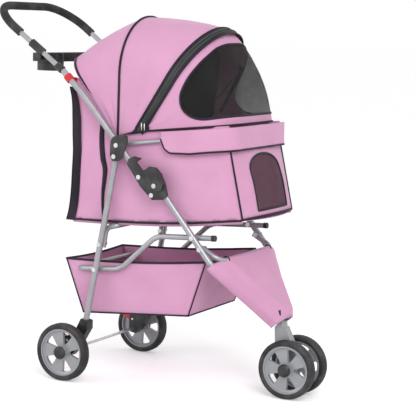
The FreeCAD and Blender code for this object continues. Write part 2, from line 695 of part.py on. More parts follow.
def make_basket():
    """A tapered cloth basket, open at the top, with the frame tube through its rear sleeve."""
    cloth = num("cloth")
    floor_z = num("basket_floor_z")
    top, base = num("basket_half_top"), num("basket_half_floor")
    outer = Part.makeLoft([level_ring((13, floor_z), (329, floor_z + 28), base),
                           level_ring((-36, 313), (381, 346), top)], True, True)
    inner = Part.makeLoft([level_ring((13 + cloth, floor_z + cloth), (329 - cloth, floor_z + 28 + cloth), base - cloth),
                           level_ring((-36 + cloth, 313 + cloth), (381 - cloth, 346 + cloth), top - cloth)], True, True)
    shell = outer.cut(inner)
    passage = rod(basket_route, basket_bends, INNER + num("fabric_gap"))
    return shell.cut(passage)


keep_shape(make_basket(), "basket")


def make_bib():
    """The cloth apron from the front tube down over the two front legs to the caster head."""
    cloth = num("cloth")
    upper = [point(431.5, -147, 361.1), point(431.5, 147, 361.1)]
    lower = [point(565.9, 44, 209.9), point(565.9, -44, 209.9)]
    face = Part.Face(Part.makePolygon(upper + lower + upper[:1]))
    return face.extrude(Vector(cloth * 0.75, 0, cloth * 0.66))


keep_shape(make_bib(), "front_apron")

# ---------------------------------------------------------------- rim tube of the cabin
RIM = num("rim_tube") / 2
rim_half_route = [point(REAR_PIVOT[0] - 3, num("rim_half"), REAR_PIVOT[1] - 7),
                  point(REAR_PIVOT[0] + 15, num("rim_half"), REAR_PIVOT[1] + 32),
                  point(num("door_top_x") + 9, num("rim_half"), 672)]
RIM_BENDS = [18, 55, 55, 18]
rim = pipe(mirrored_route(rim_half_route), RIM_BENDS, RIM, RIM - WALL)
for side in SIDES.values():
    rim = rim.cut(side_pin(side, *REAR_PIVOT, num("rim_half") - 20, num("rim_half") + 20, PIN_HOLE))
keep_shape(rim, "rim_tube")
rim_passage = rod(mirrored_route(rim_half_route), RIM_BENDS, RIM + num("fabric_gap"))

# ---------------------------------------------------------------- soft cabin
CLOTH = num("cloth")
CABIN_Y = num("cabin_half")
REAR_X = num("cabin_rear_x")
FLOOR_Z = num("cabin_floor_z")
FRONT = (num("cabin_front_x"), num("cabin_front_z"))
DOOR_TOP = (num("door_top_x"), num("door_top_z"))
GAP = num("fabric_gap")


def prism(corners, low_y, high_y):
    """A side-view outline given a width along Y."""
    face = Part.Face(Part.makePolygon([point(x, low_y, z) for x, z in corners + corners[:1]]))
    return face.extrude(Vector(0, high_y - low_y, 0))


def make_cabin_walls():
    """Both side walls and the rear wall, as one stitched cloth box without top, floor or front."""
    outline = [(REAR_X, FLOOR_Z), (FRONT[0], FRONT[1]), (DOOR_TOP[0], DOOR_TOP[1]),
               (DOOR_TOP[0] - 3, DOOR_TOP[1] + 54.2), (345, 683.4), (335, 686), (168, 667),
               (128, 655), (-4, 790), (REAR_X, 790)]
    inside = [(REAR_X + CLOTH, FLOOR_Z - 30), (FRONT[0] + 30, FLOOR_Z - 30), (FRONT[0] + 30, 900),
              (REAR_X + CLOTH, 900)]
    block = prism(outline, -CABIN_Y, CABIN_Y)
    block = block.cut(prism(inside, -CABIN_Y + CLOTH, CABIN_Y - CLOTH))
    return block.cut(rim_passage)


def make_cabin_floor():
    """The padded floor board, between the walls."""
    corners = [(REAR_X + CLOTH + GAP, FLOOR_Z + 1), (FRONT[0] - 9, FRONT[1] + 1), (FRONT[0] - 11, FRONT[1] + 11),
               (REAR_X + CLOTH + GAP, FLOOR_Z + 11)]
    return prism(corners, -CABIN_Y + CLOTH + GAP, CABIN_Y - CLOTH - GAP)


def door_point(share, depth):
    """A side-view point on the sloping front, up from its foot and in from its outer face."""
    x = FRONT[0] + (DOOR_TOP[0] - FRONT[0]) * share
    z = FRONT[1] + (DOOR_TOP[1] - FRONT[1]) * share
    return (x - depth, z)


DOOR_INSET = 4.5
WINDOW_HALF = 62


def window_outline(half, foot, shoulder):
    """The arched outline of the door's window, as seen from the front."""
    corner = point(0, -half, foot)
    left = point(0, -half, shoulder)
    crown = point(0, 0, shoulder + half * 0.62)
    right = point(0, half, shoulder)
    last = point(0, half, foot)
    edges = [Part.LineSegment(corner, left).toShape(), Part.Arc(left, crown, right).toShape(),
             Part.LineSegment(right, last).toShape(), Part.LineSegment(last, corner).toShape()]
    return Part.Face(Part.Wire(edges))


def make_door():
    """The front door panel, with its window opening."""
    corners = [door_point(0.0, 0.2), door_point(1.22, 0.2), door_point(1.22, CLOTH + 0.2), door_point(0.0, CLOTH + 0.2)]
    corners = [(x - CLOTH, z + 1) for x, z in corners]
    panel = prism(corners, -CABIN_Y + CLOTH + GAP, CABIN_Y - CLOTH - GAP).cut(rim_passage)
    opening = window_outline(WINDOW_HALF, 492, 560).extrude(Vector(600, 0, 0))
    return panel.cut(opening), panel, opening


door, door_panel, door_opening = make_door()
keep_shape(make_cabin_walls(), "cabin_walls")
keep_shape(make_cabin_floor(), "cabin_floor")
keep_shape(door, "cabin_door")
smaller = window_outline(WINDOW_HALF - GAP, 492 + GAP, 560).extrude(Vector(600, 0, 0))
keep_shape(door_panel.common(smaller), "door_mesh")


# ---------------------------------------------------------------- canopy
def arch_wire(foot, angle, reach, half, corner, thickness, shift=0):
    """A closed arch strip that stands over a side-view foot point and leans at an angle.

    Its legs are straight, its two corners are round and its top is flat between them. shift moves it along
    the normal of its own plane.
    """
    lean_to = math.radians(angle)
    up = Vector(math.cos(lean_to), 0, math.sin(lean_to))
    normal = Vector(math.sin(lean_to), 0, -math.cos(lean_to))
    base = point(foot[0], 0, foot[1]) + normal * shift

    def spot(height, y):
        return base + up * height + Vector(0, y, 0)

    def strip(inset):
        h = reach - inset
        w = half - inset
        r = corner - inset
        k = r * (1 - math.sqrt(0.5))
        return [(spot(0, -w), None, spot(h - r, -w)), (spot(h - r, -w), spot(h - k, -w + k), spot(h, -w + r)),
                (spot(h, -w + r), None, spot(h, w - r)), (spot(h, w - r), spot(h - k, w - k), spot(h - r, w)),
                (spot(h - r, w), None, spot(0, w))]

    outer = strip(0)
    inner = strip(thickness)
    edges = []
    for start, middle, end in outer:
        edges.append(Part.Arc(start, middle, end).toShape() if middle else Part.LineSegment(start, end).toShape())
    edges.append(Part.LineSegment(outer[-1][2], inner[-1][2]).toShape())
    for start, middle, end in reversed(inner):
        edges.append(Part.Arc(end, middle, start).toShape() if middle else Part.LineSegment(end, start).toShape())
    edges.append(Part.LineSegment(inner[0][0], outer[0][0]).toShape())
    return Part.Wire(edges)


CANOPY_Y = num("canopy_half")
BOW_FOOT = (num("bow_x"), num("bow_foot_z"))
ZIP_FOOT = (num("zip_foot_x"), num("zip_foot_z"))
ZIP_ANGLE = num("zip_angle")
BOW_ROUND = CANOPY_Y - 3
HEM = {"foot": (118, 645), "angle": 129.9, "reach": 258, "half": CANOPY_Y, "corner": 70}
BOW = {"foot": BOW_FOOT, "angle": 90, "reach": num("bow_height"), "half": CANOPY_Y, "corner": BOW_ROUND}
CROWN = {"foot": (145, 656), "angle": 75, "reach": 309, "half": CANOPY_Y + 2, "corner": BOW_ROUND}
ZIP = {"foot": ZIP_FOOT, "angle": ZIP_ANGLE, "reach": num("zip_reach"), "half": CANOPY_Y, "corner": BOW_ROUND - 3}
BROW = {"foot": (172, 664), "angle": 33, "reach": 288, "half": CANOPY_Y, "corner": 105}
RIM_EDGE = {"foot": (163, 662), "angle": 6.9, "reach": 277, "half": CANOPY_Y, "corner": 72}


def panel(arches):
    return Part.makeLoft([arch_wire(thickness=CLOTH, **arch) for arch in arches], True, True)


BOW_PIPE = 3.2
half_zip = num("zip_width") / 2
keep_shape(panel([HEM, dict(BOW, shift=-BOW_PIPE - GAP)]), "canopy_rear_panel")
keep_shape(panel([dict(BOW, shift=BOW_PIPE + GAP), CROWN, dict(ZIP, shift=-half_zip - GAP)]), "canopy_top_panel")
front_panel = panel([dict(ZIP, shift=half_zip + GAP), BROW, RIM_EDGE])


def band(arch, outward, thickness, width):
    """A flat hoop of tape over an arch."""
    wide = dict(arch)
    wide["reach"] += outward
    wide["half"] += outward
    wide["corner"] += outward
    ends = [arch_wire(thickness=thickness, shift=offset, **wide) for offset in (-width / 2, width / 2)]
    return Part.makeLoft(ends, True, True)


keep_shape(band(BOW, 1.5, 4, BOW_PIPE * 2), "canopy_bow")
keep_shape(band(ZIP, 1.5, 4, num("zip_width")), "canopy_zip_band")


def canopy_window():
    """The wrap-around window, seen from the side: a visor from just ahead of the zip band to the brow."""
    outline = [(297, 761), (312, 797), (337, 840), (355, 868), (362, 884), (500, 884), (500, 722),
               (403, 712), (364, 706), (324, 714), (304, 731)]
    return prism(outline, -200, 200)


window = canopy_window()
keep_shape(front_panel.cut(window), "canopy_front_panel")
keep_shape(front_panel.common(window), "canopy_mesh")


def upright_front_edges(shape, x):
    """The vertical edges of a shape that lie at x."""
    return [e for e in shape.Edges if abs(e.tangentAt(e.FirstParameter).z) > 0.99 and abs(e.CenterOfMass.x - x) < 0.01]


def make_rim_cover():
    """The cloth flap that hides the rim tube, with a lower edge that dips and rises."""
    front_x = rim_half_route[2].x + RIM + GAP
    half = num("rim_half") + RIM + GAP
    outline = [(250, 650), (262, 626), (277, 616), (334, 618), (390, 626), (front_x + CLOTH, 634),
               (front_x + CLOTH, 692), (250, 668)]
    hollow = [(240, 600), (front_x, 600), (front_x, 720), (240, 720)]
    outer = prism(outline, -half - CLOTH, half + CLOTH)
    inner = prism(hollow, -half, half)
    outer = outer.makeFillet(34 + CLOTH, upright_front_edges(outer, front_x + CLOTH))
    inner = inner.makeFillet(34, upright_front_edges(inner, front_x))
    return outer.cut(inner)


keep_shape(make_rim_cover(), "rim_cover")

# ---------------------------------------------------------------- checks and export
doc.recompute()
failed = [thing.Label for thing in doc.Objects if set(thing.State) & {"Invalid", "Error"}]
for label, thing in NODES.items():
    if thing.Shape.isNull() or not thing.Shape.isValid():
        failed.append(label)
if failed:
    raise RuntimeError(f"these objects failed: {failed}")

os.makedirs("parts", exist_ok=True)
for label, thing in NODES.items():
    thing.Shape.exportStep(os.path.join("parts", f"{label}.step"))
print(len(NODES), "parts, origin at x", round(MIDDLE_X, 3))
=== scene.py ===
"""Looks of a pink folding pet stroller: cloth cabin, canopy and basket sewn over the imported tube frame."""
import json
import math

import bmesh
import bpy
import numpy as np
from mathutils import Matrix, Vector, noise
from mathutils.geometry import delaunay_2d_cdt

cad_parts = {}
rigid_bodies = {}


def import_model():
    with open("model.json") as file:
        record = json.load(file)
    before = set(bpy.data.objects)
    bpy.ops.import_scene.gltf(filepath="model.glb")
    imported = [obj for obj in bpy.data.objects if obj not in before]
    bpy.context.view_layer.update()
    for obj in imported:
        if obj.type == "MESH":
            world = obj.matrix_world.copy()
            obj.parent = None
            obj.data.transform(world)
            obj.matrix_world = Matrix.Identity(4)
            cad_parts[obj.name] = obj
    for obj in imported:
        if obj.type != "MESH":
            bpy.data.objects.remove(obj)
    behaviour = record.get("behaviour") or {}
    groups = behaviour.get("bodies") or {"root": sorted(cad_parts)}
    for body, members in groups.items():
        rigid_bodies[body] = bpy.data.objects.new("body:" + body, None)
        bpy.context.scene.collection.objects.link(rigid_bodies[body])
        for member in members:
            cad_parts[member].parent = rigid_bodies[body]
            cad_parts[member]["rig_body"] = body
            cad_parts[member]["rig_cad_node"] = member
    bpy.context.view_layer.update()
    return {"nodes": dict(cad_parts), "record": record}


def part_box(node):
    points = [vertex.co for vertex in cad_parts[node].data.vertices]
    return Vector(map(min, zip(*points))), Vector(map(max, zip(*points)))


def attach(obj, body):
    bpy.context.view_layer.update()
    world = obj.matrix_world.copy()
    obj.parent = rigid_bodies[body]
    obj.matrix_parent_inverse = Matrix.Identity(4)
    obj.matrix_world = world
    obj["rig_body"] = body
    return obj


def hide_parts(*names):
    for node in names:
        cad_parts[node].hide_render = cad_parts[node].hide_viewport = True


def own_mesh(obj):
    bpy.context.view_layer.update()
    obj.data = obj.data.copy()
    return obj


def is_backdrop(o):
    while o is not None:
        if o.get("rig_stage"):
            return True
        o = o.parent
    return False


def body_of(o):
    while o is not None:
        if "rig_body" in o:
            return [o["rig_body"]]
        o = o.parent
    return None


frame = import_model()
nodes = frame["nodes"]

MM = 0.001
axle_low, axle_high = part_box("rear_axle")
AXLE_X = (axle_low.x + axle_high.x) / 2
SIDES = {"left": 1, "right": -1}


def at(x, y, z):
    """A point given in millimetres from the rear axle, the middle plane and the floor."""
    return Vector((AXLE_X + x * MM, y * MM, z * MM))


# ---------------------------------------------------------------- materials
def new_material(name):
    material = bpy.data.materials.new(name)
    material.use_nodes = True
    tree = material.node_tree
    shader = tree.nodes["Principled BSDF"]
    return material, tree, shader


def math_node(tree, operation, first, second=None):
    node = tree.nodes.new("ShaderNodeMath")
    node.operation = operation
    for socket, value in zip(node.inputs, (first, second)):
        if value is None:
            continue
        if isinstance(value, (int, float)):
            socket.default_value = value
        else:
            tree.links.new(value, socket)
    return node.outputs[0]


def coordinates(tree, kind="Object"):
    return tree.nodes.new("ShaderNodeTexCoord").outputs[kind]


def noise_of(tree, place, scale, detail=3.0, rough=0.5):
    node = tree.nodes.new("ShaderNodeTexNoise")
    node.inputs["Scale"].default_value = scale
    node.inputs["Detail"].default_value = detail
    node.inputs["Roughness"].default_value = rough
    tree.links.new(place, node.inputs["Vector"])
    return node.outputs["Fac"]


def colour_between(tree, factor, first, second, low=0.35, high=0.65):
    ramp = tree.nodes.new("ShaderNodeValToRGB")
    ramp.color_ramp.elements[0].position = low
    ramp.color_ramp.elements[1].position = high
    ramp.color_ramp.elements[0].color = (*first, 1)
    ramp.color_ramp.elements[1].color = (*second, 1)
    tree.links.new(factor, ramp.inputs["Fac"])
    return ramp.outputs["Color"]


def raised(tree, shader, heights, strength, distance):
    bump = tree.nodes.new("ShaderNodeBump")
    bump.inputs["Strength"].default_value = strength
    bump.inputs["Distance"].default_value = distance
    tree.links.new(heights, bump.inputs["Height"])
    tree.links.new(bump.outputs["Normal"], shader.inputs["Normal"])


def weave(tree, threads, place):
    """Over-and-under threads from UV given in metres."""
    split = tree.nodes.new("ShaderNodeSeparateXYZ")
    tree.links.new(place, split.inputs[0])
    across = math_node(tree, "SINE", math_node(tree, "MULTIPLY", split.outputs[0], threads * 2 * math.pi))
    along = math_node(tree, "SINE", math_node(tree, "MULTIPLY", split.outputs[1], threads * 2 * math.pi))
    return math_node(tree, "MULTIPLY", across, along)


def cloth_material(name, dark, light, threads, sheen):
    material, tree, shader = new_material(name)
    place = coordinates(tree, "UV")
    threads_up = weave(tree, threads, place)
    folds = noise_of(tree, coordinates(tree), 9.0, 4.0)
    tree.links.new(colour_between(tree, folds, dark, light), shader.inputs["Base Color"])
    shader.inputs["Roughness"].default_value = 0.82
    shader.inputs["Sheen Weight"].default_value = sheen
    shader.inputs["Sheen Roughness"].default_value = 0.5
    shader.inputs["Specular IOR Level"].default_value = 0.25
    mixed = math_node(tree, "ADD", math_node(tree, "MULTIPLY", threads_up, 0.35), folds)
    raised(tree, shader, mixed, 0.35, 0.0006)
    return material


def moulded_material(name, colour, roughness, grain, bump=0.25, metallic=0.0, wear=0.15):
    """Plastic, rubber or foam: a fine grain, with a slightly paler worn tone."""
    material, tree, shader = new_material(name)
    place = coordinates(tree)
    patches = noise_of(tree, place, 30.0, 4.0)
    paler = tuple(min(1.0, c + (0.35 - c) * wear) for c in colour)
    tree.links.new(colour_between(tree, patches, colour, paler, 0.45, 0.8), shader.inputs["Base Color"])
    shader.inputs["Roughness"].default_value = roughness
    shader.inputs["Metallic"].default_value = metallic
    raised(tree, shader, noise_of(tree, place, grain, 2.0), bump, 0.0004)
    return material


def tube_material(name, colour, metallic, roughness):
    """Silver-grey coated steel, with faint drawing lines and handling marks."""
    material, tree, shader = new_material(name)
    place = coordinates(tree)
    marks = noise_of(tree, place, 55.0, 5.0)
    paler = tuple(min(1.0, c * 1.18) for c in colour)
    tree.links.new(colour_between(tree, marks, colour, paler, 0.4, 0.7), shader.inputs["Base Color"])
    shader.inputs["Metallic"].default_value = metallic
    gloss = tree.nodes.new("ShaderNodeMapRange")
    gloss.inputs["To Min"].default_value = roughness - 0.06
    gloss.inputs["To Max"].default_value = roughness + 0.1
    tree.links.new(marks, gloss.inputs["Value"])
    tree.links.new(gloss.outputs[0], shader.inputs["Roughness"])
    raised(tree, shader, noise_of(tree, place, 700.0, 2.0), 0.08, 0.0003)
    return material


def mesh_material(name, colour, cells, solidity):
    """See-through window mesh: fine crossing threads with open cells between them."""
    material, tree, shader = new_material(name)
    place = coordinates(tree, "UV")
    split = tree.nodes.new("ShaderNodeSeparateXYZ")
    tree.links.new(place, split.inputs[0])
    threads = []
    for output in split.outputs[:2]:
        wave = math_node(tree, "SINE", math_node(tree, "MULTIPLY", output, cells * 2 * math.pi))
        threads.append(math_node(tree, "ABSOLUTE", wave))
    weakest = math_node(tree, "MINIMUM", threads[0], threads[1])
    opening = math_node(tree, "GREATER_THAN", weakest, 1 - solidity)
    shader.inputs["Base Color"].default_value = (*colour, 1)
    shader.inputs["Roughness"].default_value = 0.6
    shader.inputs["Specular IOR Level"].default_value = 0.3
    alpha = math_node(tree, "SUBTRACT", 1.0, math_node(tree, "MULTIPLY", opening, 0.85))
    tree.links.new(alpha, shader.inputs["Alpha"])
    raised(tree, shader, weakest, 0.2, 0.0003)
    return material


PINK = cloth_material("pink_polyester", (0.625, 0.31, 0.49), (0.665, 0.34, 0.525), 900.0, 0.22)
# A darker copy of the pink cloth, worn by the floor pad inside the cabin: painted shade.
PINK_SHADED = cloth_material("pink_polyester_painted_shade", (0.46, 0.19, 0.33), (0.52, 0.23, 0.38), 900.0, 0.1)
LAVENDER = cloth_material("lavender_sleeve_cloth", (0.47, 0.29, 0.5), (0.53, 0.34, 0.56), 900.0, 0.2)
TAPE = cloth_material("black_tape", (0.012, 0.008, 0.014), (0.03, 0.02, 0.034), 700.0, 0.1)
DOOR_WINDOW = mesh_material("door_window_mesh", (0.13, 0.06, 0.085), 420.0, 0.62)
WINDOW = mesh_material("window_mesh", (0.008, 0.008, 0.008), 420.0, 0.62)
TUBE = tube_material("silver_grey_tube", (0.36, 0.36, 0.38), 0.55, 0.34)
RIVET = tube_material("bright_rivet", (0.68, 0.68, 0.69), 0.9, 0.25)
PLASTIC = moulded_material("black_moulding", (0.013, 0.013, 0.015), 0.42, 900.0)
RIM = moulded_material("grey_wheel_moulding", (0.33, 0.34, 0.36), 0.36, 700.0, 0.12, 0.2, 0.1)
TYRE = moulded_material("foam_rubber_tyre", (0.014, 0.014, 0.015), 0.62, 500.0, 0.4)
FOAM = moulded_material("handle_foam", (0.014, 0.014, 0.016), 0.88, 1300.0, 0.7)
RED = moulded_material("red_moulding", (0.62, 0.012, 0.016), 0.32, 600.0, 0.1, 0.0, 0.05)

SLOT_MATERIALS = {
    "pink_cloth": PINK, "floor_cloth": PINK_SHADED, "dark_mesh": WINDOW, "black_tape": TAPE, "grey_tube": TUBE,
    "steel": RIVET, "black_plastic": PLASTIC, "foam": FOAM, "red_plastic": RED, "grey_plastic": RIM, "tyre": TYRE,
}
for entry in frame["record"]["subparts"]:
    cad = nodes[entry["node"]]
    cad.data.materials.clear()
    cad.data.materials.append(SLOT_MATERIALS[entry["material_slot"]])


# ---------------------------------------------------------------- mesh helpers
def mesh_object(name, corners, faces, material, smooth=True, uvs=None):
    mesh = bpy.data.meshes.new(name)
    mesh.from_pydata([tuple(c) for c in corners], [], faces)
    if uvs is not None:
        layer = mesh.uv_layers.new(name="UVMap")
        for loop in mesh.loops:
            layer.data[loop.index].uv = uvs[loop.vertex_index]
    mesh.materials.append(material)
    for face in mesh.polygons:
        face.use_smooth = smooth
    piece = bpy.data.objects.new(name, mesh)
    bpy.context.scene.collection.objects.link(piece)
    return piece


def bake_modifiers(piece):
    """The piece with its modifiers worked into its mesh."""
    graph = bpy.context.evaluated_depsgraph_get()
    shaped = bpy.data.meshes.new_from_object(piece.evaluated_get(graph))
    piece.modifiers.clear()
    piece.data = shaped
    return piece


def grid_faces(rows, columns, closed=False):
    faces = []
    span = columns if closed else columns - 1
    for row in range(rows - 1):
        for column in range(span):
            following = (column + 1) % columns
            faces.append((row * columns + column, row * columns + following,
                          (row + 1) * columns + following, (row + 1) * columns + column))
    return faces


def sheet_area(rows):
    """The area of a grid of points."""
    grid = np.array([[tuple(p) for p in row] for row in rows])
    first = grid[1:, :-1] - grid[:-1, :-1]
    second = grid[:-1, 1:] - grid[:-1, :-1]
    third = grid[1:, :-1] - grid[1:, 1:]
    fourth = grid[:-1, 1:] - grid[1:, 1:]
    near = np.linalg.norm(np.cross(first, second), axis=2).sum() / 2
    far = np.linalg.norm(np.cross(third, fourth), axis=2).sum() / 2
    return near + far


def line_length(points):
    return sum((b - a).length for a, b in zip(points, points[1:]))


def give_thickness(piece, thickness):
    """The sheet gets its cloth thickness, in millimetres, on its inner side."""
    solid = piece.modifiers.new("cloth", "SOLIDIFY")
    solid.thickness = thickness * MM
    solid.offset = -1
    bake_modifiers(piece)
    for face in piece.data.polygons:
        face.use_smooth = True


def facing(corners, faces, sample, outward):
    """The faces, turned round if the sample triangle points away from outward."""
    a, b, c = (corners[i] for i in sample)
    if (b - a).cross(c - b).dot(outward(a)) < 0:
        return [tuple(reversed(face)) for face in faces]
    return faces


def cloth_sheet(name, rows, material, body, node=None, *, outward,
                thickness=1.4):
    """A sewn panel from rows of points: it gets a UV in metres and a thickness."""
    columns = len(rows[0])
    uvs = []
    along = 0.0
    widest = max(line_length(row) for row in rows)
    for number, row in enumerate(rows):
        if number:
            along += (row[columns // 2] - rows[number - 1][columns // 2]).length
        across = 0.0
        for column, spot in enumerate(row):
            if column:
                across += (spot - row[column - 1]).length
            uvs.append((across, along))
    corners = [spot for row in rows for spot in row]
    faces = grid_faces(len(rows), columns)
    faces = facing(corners, faces, faces[len(faces) // 2][:3], outward)
    piece = mesh_object(name, corners, faces, material, uvs=uvs)
    area = sheet_area(rows)
    give_thickness(piece, thickness)
    longest = max(line_length([row[column] for row in rows]) for column in range(columns))
    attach(piece, body)
    if node:
        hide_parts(node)
    return piece


def tube_along(name, points, radius, material, body, sides=8, flat=1.0, closed=False, up=None):
    """A round or flattened bead that follows points; flat under 1 makes it a tape."""
    count = len(points)
    rings = []
    side = None
    for number, spot in enumerate(points):
        before = points[number - 1] if (number or closed) else points[0]
        after = points[(number + 1) % count] if (number + 1 < count or closed) else points[-1]
        heading = (after - before).normalized()
        guide = up(spot) if up else (side or (Vector((0, 0, 1)) if abs(heading.z) < 0.9 else Vector((0, 1, 0))))
        side = (guide - heading * guide.dot(heading)).normalized()
        other = heading.cross(side)
        ring = []
        for step in range(sides):
            turn = 2 * math.pi * step / sides
            ring.append(spot + side * (math.cos(turn) * radius * flat) + other * (math.sin(turn) * radius))
        rings.append(ring)
    corners = [spot for ring in rings for spot in ring]
    faces = grid_faces(count, sides, True)
    if closed:
        last = (count - 1) * sides
        for step in range(sides):
            following = (step + 1) % sides
            faces.append((last + step, last + following, following, step))
    else:
        faces.append(tuple(reversed(range(sides))))
        faces.append(tuple((count - 1) * sides + step for step in range(sides)))
    uvs = []
    along = 0.0
    for number, ring in enumerate(rings):
        if number:
            along += (points[number] - points[number - 1]).length
        uvs.extend((step * radius, along) for step in range(sides))
    piece = mesh_object(name, corners, faces, material, uvs=uvs)
    turn_outward(piece)
    if body:
        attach(piece, body)
    return piece


def turn_outward(piece):
    work = bmesh.new()
    work.from_mesh(piece.data)
    bmesh.ops.remove_doubles(work, verts=work.verts, dist=1e-6)
    bmesh.ops.recalc_face_normals(work, faces=work.faces)
    work.to_mesh(piece.data)
    work.free()


def smooth_line(points, per_span=8):
    """A Catmull-Rom line through points."""
    padded = [points[0] * 2 - points[1]] + list(points) + [points[-1] * 2 - points[-2]]
    line = []
    for number in range(1, len(padded) - 2):
        a, b, c, d = padded[number - 1:number + 3]
        for step in range(per_span):
            t = step / per_span
            line.append(0.5 * ((2 * b) + (c - a) * t + (2 * a - 5 * b + 4 * c - d) * t * t
                               + (3 * b - a - 3 * c + d) * t ** 3))
    line.append(points[-1].copy())
    return line


def side_curve(points, per_span):
    """A smooth line through x, z pairs of the side view; its points hold x, z and 0."""
    return smooth_line([Vector((x, z, 0)) for x, z in points], per_span)


def resample(points, count):
    """Evenly spaced points on a line."""
    lengths = [0.0]
    for a, b in zip(points, points[1:]):
        lengths.append(lengths[-1] + (b - a).length)
    total = lengths[-1]
    spots = []
    index = 0
    for step in range(count):
        target = total * step / (count - 1)
        while index < len(lengths) - 2 and lengths[index + 1] < target:
            index += 1
        span = lengths[index + 1] - lengths[index]
        share = (target - lengths[index]) / span if span else 0
        spots.append(points[index].lerp(points[index + 1], min(1.0, max(0.0, share))))
    return spots


# ---------------------------------------------------------------- arches of the canopy
HEM = (118, 645, 129.9, 258, 150, 70)
BOW = (118, 650, 90, 304, 150, 147)
CROWN = (145, 656, 75, 309, 152, 147)
ZIP = (175, 668, 57.7, 309, 150, 144)
BROW = (172, 664, 33, 288, 150, 105)
RIM_EDGE = (163, 662, 6.9, 277, 150, 72)


def between(specs, share):
    """The arch at a share from 0 to 1 through a list of arches, with its sizes blended smoothly."""
    spans = len(specs) - 1
    place = min(max(share, 0), 1) * spans
    index = min(int(place), spans - 1)
    t = place - index
    a = specs[max(index - 1, 0)]
    b, c = specs[index], specs[index + 1]
    d = specs[min(index + 2, spans)]
    return tuple(0.5 * (2 * q + (r - p) * t + (2 * p - 5 * q + 4 * r - s) * t * t + (3 * q - p - 3 * r + s) * t ** 3)
                 for p, q, r, s in zip(a, b, c, d))


def arch_spot(spec, across, lift=0.0):
    """A place on an arch: across runs from -1 at the left foot to 1 at the right foot. Returns it and outwards."""
    foot_x, foot_z, angle, reach, half, corner = spec
    turn = math.radians(angle)
    leg = reach - corner
    bend = corner * math.pi / 2
    way = (1 - abs(across)) * (leg + bend + half - corner)
    if way < leg:
        rise, wide, lean = way, half, 0.0
    elif way < leg + bend:
        lean = (way - leg) / corner
        rise, wide = leg + corner * math.sin(lean), half - corner + corner * math.cos(lean)
    else:
        rise, wide, lean = reach, half - corner - (way - leg - bend), math.pi / 2
    side = 1 if across < 0 else -1
    outward = Vector((math.cos(turn) * math.sin(lean), side * math.cos(lean), math.sin(turn) * math.sin(lean)))
    spot = at(foot_x + math.cos(turn) * rise, side * wide, foot_z + math.sin(turn) * rise)
    return spot + outward * lift * MM, outward


def height_share(spec, across):
    """How far up its arch a place is, from 0 at a foot to 1 along the crown."""
    reach, half, corner = spec[3:]
    way = (1 - abs(across)) * (reach - corner + corner * math.pi / 2 + half - corner)
    return min(1.0, way / (reach - corner + corner * math.pi / 2))


def ripple(spot, size_mm, seed):
    """A soft wrinkle value between about -1 and 1."""
    return noise.noise(spot * (1000 / size_mm) + Vector((seed, seed * 0.7, -seed)))


def canopy_spot(specs, across, share, sag, folds, seed):
    """A place on the tensioned cloth between two arches: it sags between them and gathers near the feet."""
    spec = between(specs, share)
    up = height_share(spec, across)
    hold = math.sin(math.pi * min(max(share, 0), 1))
    spot, outward = arch_spot(spec, across)
    drop = -sag * hold * up ** 2
    gather = folds * hold * math.sin(share * 17 + seed) * math.exp(-((up - 0.16) / 0.2) ** 2)
    soft = 1.5 * hold * ripple(spot, 70, seed) + 0.5 * hold * ripple(spot, 26, seed + 5)
    inward = min(0.0, drop) + min(0.6, gather + soft)
    return spot + outward * inward * MM


def canopy_rows(specs, sag, folds, seed, across_count, share_count):
    return [[canopy_spot(specs, -1 + 2 * i / (across_count - 1), j / (share_count - 1), sag, folds, seed)
             for i in range(across_count)] for j in range(share_count)]


def canopy_outward(spot):
    middle = at(150, 0, 700)
    return (spot - middle).normalized()


rear_rows = canopy_rows([HEM, BOW], 13, 2.5, 1.0, 141, 25)
cloth_sheet("canopy_rear", rear_rows, PINK, "cabin", "canopy_rear_panel",
            outward=canopy_outward)
top_rows = canopy_rows([BOW, CROWN, ZIP], 5, 2.0, 2.0, 141, 27)
cloth_sheet("canopy_top", top_rows, PINK, "cabin", "canopy_top_panel",
            outward=canopy_outward)


# ---------------------------------------------------------------- cut panels
def inside_outline(spot, outline):
    x, y = spot
    crossed = False
    for (ax, ay), (bx, by) in zip(outline, outline[1:] + outline[:1]):
        if (ay > y) != (by > y) and x < (bx - ax) * (y - ay) / (by - ay) + ax:
            crossed = not crossed
    return crossed


def closed_line(outline, step):
    """The outline with points no further apart than step."""
    dense = []
    for (ax, ay), (bx, by) in zip(outline, outline[1:] + outline[:1]):
        parts = max(1, math.ceil(math.hypot(bx - ax, by - ay) / step))
        dense.extend((ax + (bx - ax) * i / parts, ay + (by - ay) * i / parts) for i in range(parts))
    return dense


def cut_pattern(outline, holes, step):
    """Triangles that fill an outline, in two sets: the cloth, and what lies in each hole."""
    loops = [closed_line(outline, step)] + [closed_line(hole, step) for hole in holes]
    spots = []
    edges = []
    for loop in loops:
        base = len(spots)
        spots.extend(loop)
        edges.extend((base + i, base + (i + 1) % len(loop)) for i in range(len(loop)))
    rim = np.array(spots)
    low, high = rim.min(0), rim.max(0)
    inner = []
    for row, y in enumerate(np.arange(low[1] + step / 2, high[1], step * 0.87)):
        for x in np.arange(low[0] + (step / 2 if row % 2 else step), high[0], step):
            if inside_outline((x, y), outline) and np.min(np.hypot(rim[:, 0] - x, rim[:, 1] - y)) > step * 0.55:
                inner.append((x, y))
    verts, _, faces, *_ = delaunay_2d_cdt([Vector(s) for s in spots + inner], edges, [], 0, 1e-5)
    cloth_faces = []
    hole_faces = [[] for _ in holes]
    for face in faces:
        centre = (sum(verts[i].x for i in face) / len(face), sum(verts[i].y for i in face) / len(face))
        if not inside_outline(centre, loops[0]):
            continue
        for number, hole in enumerate(loops[1:]):
            if inside_outline(centre, hole):
                hole_faces[number].append(face)
                break
        else:
            cloth_faces.append(face)
    return [(v.x, v.y) for v in verts], cloth_faces, hole_faces


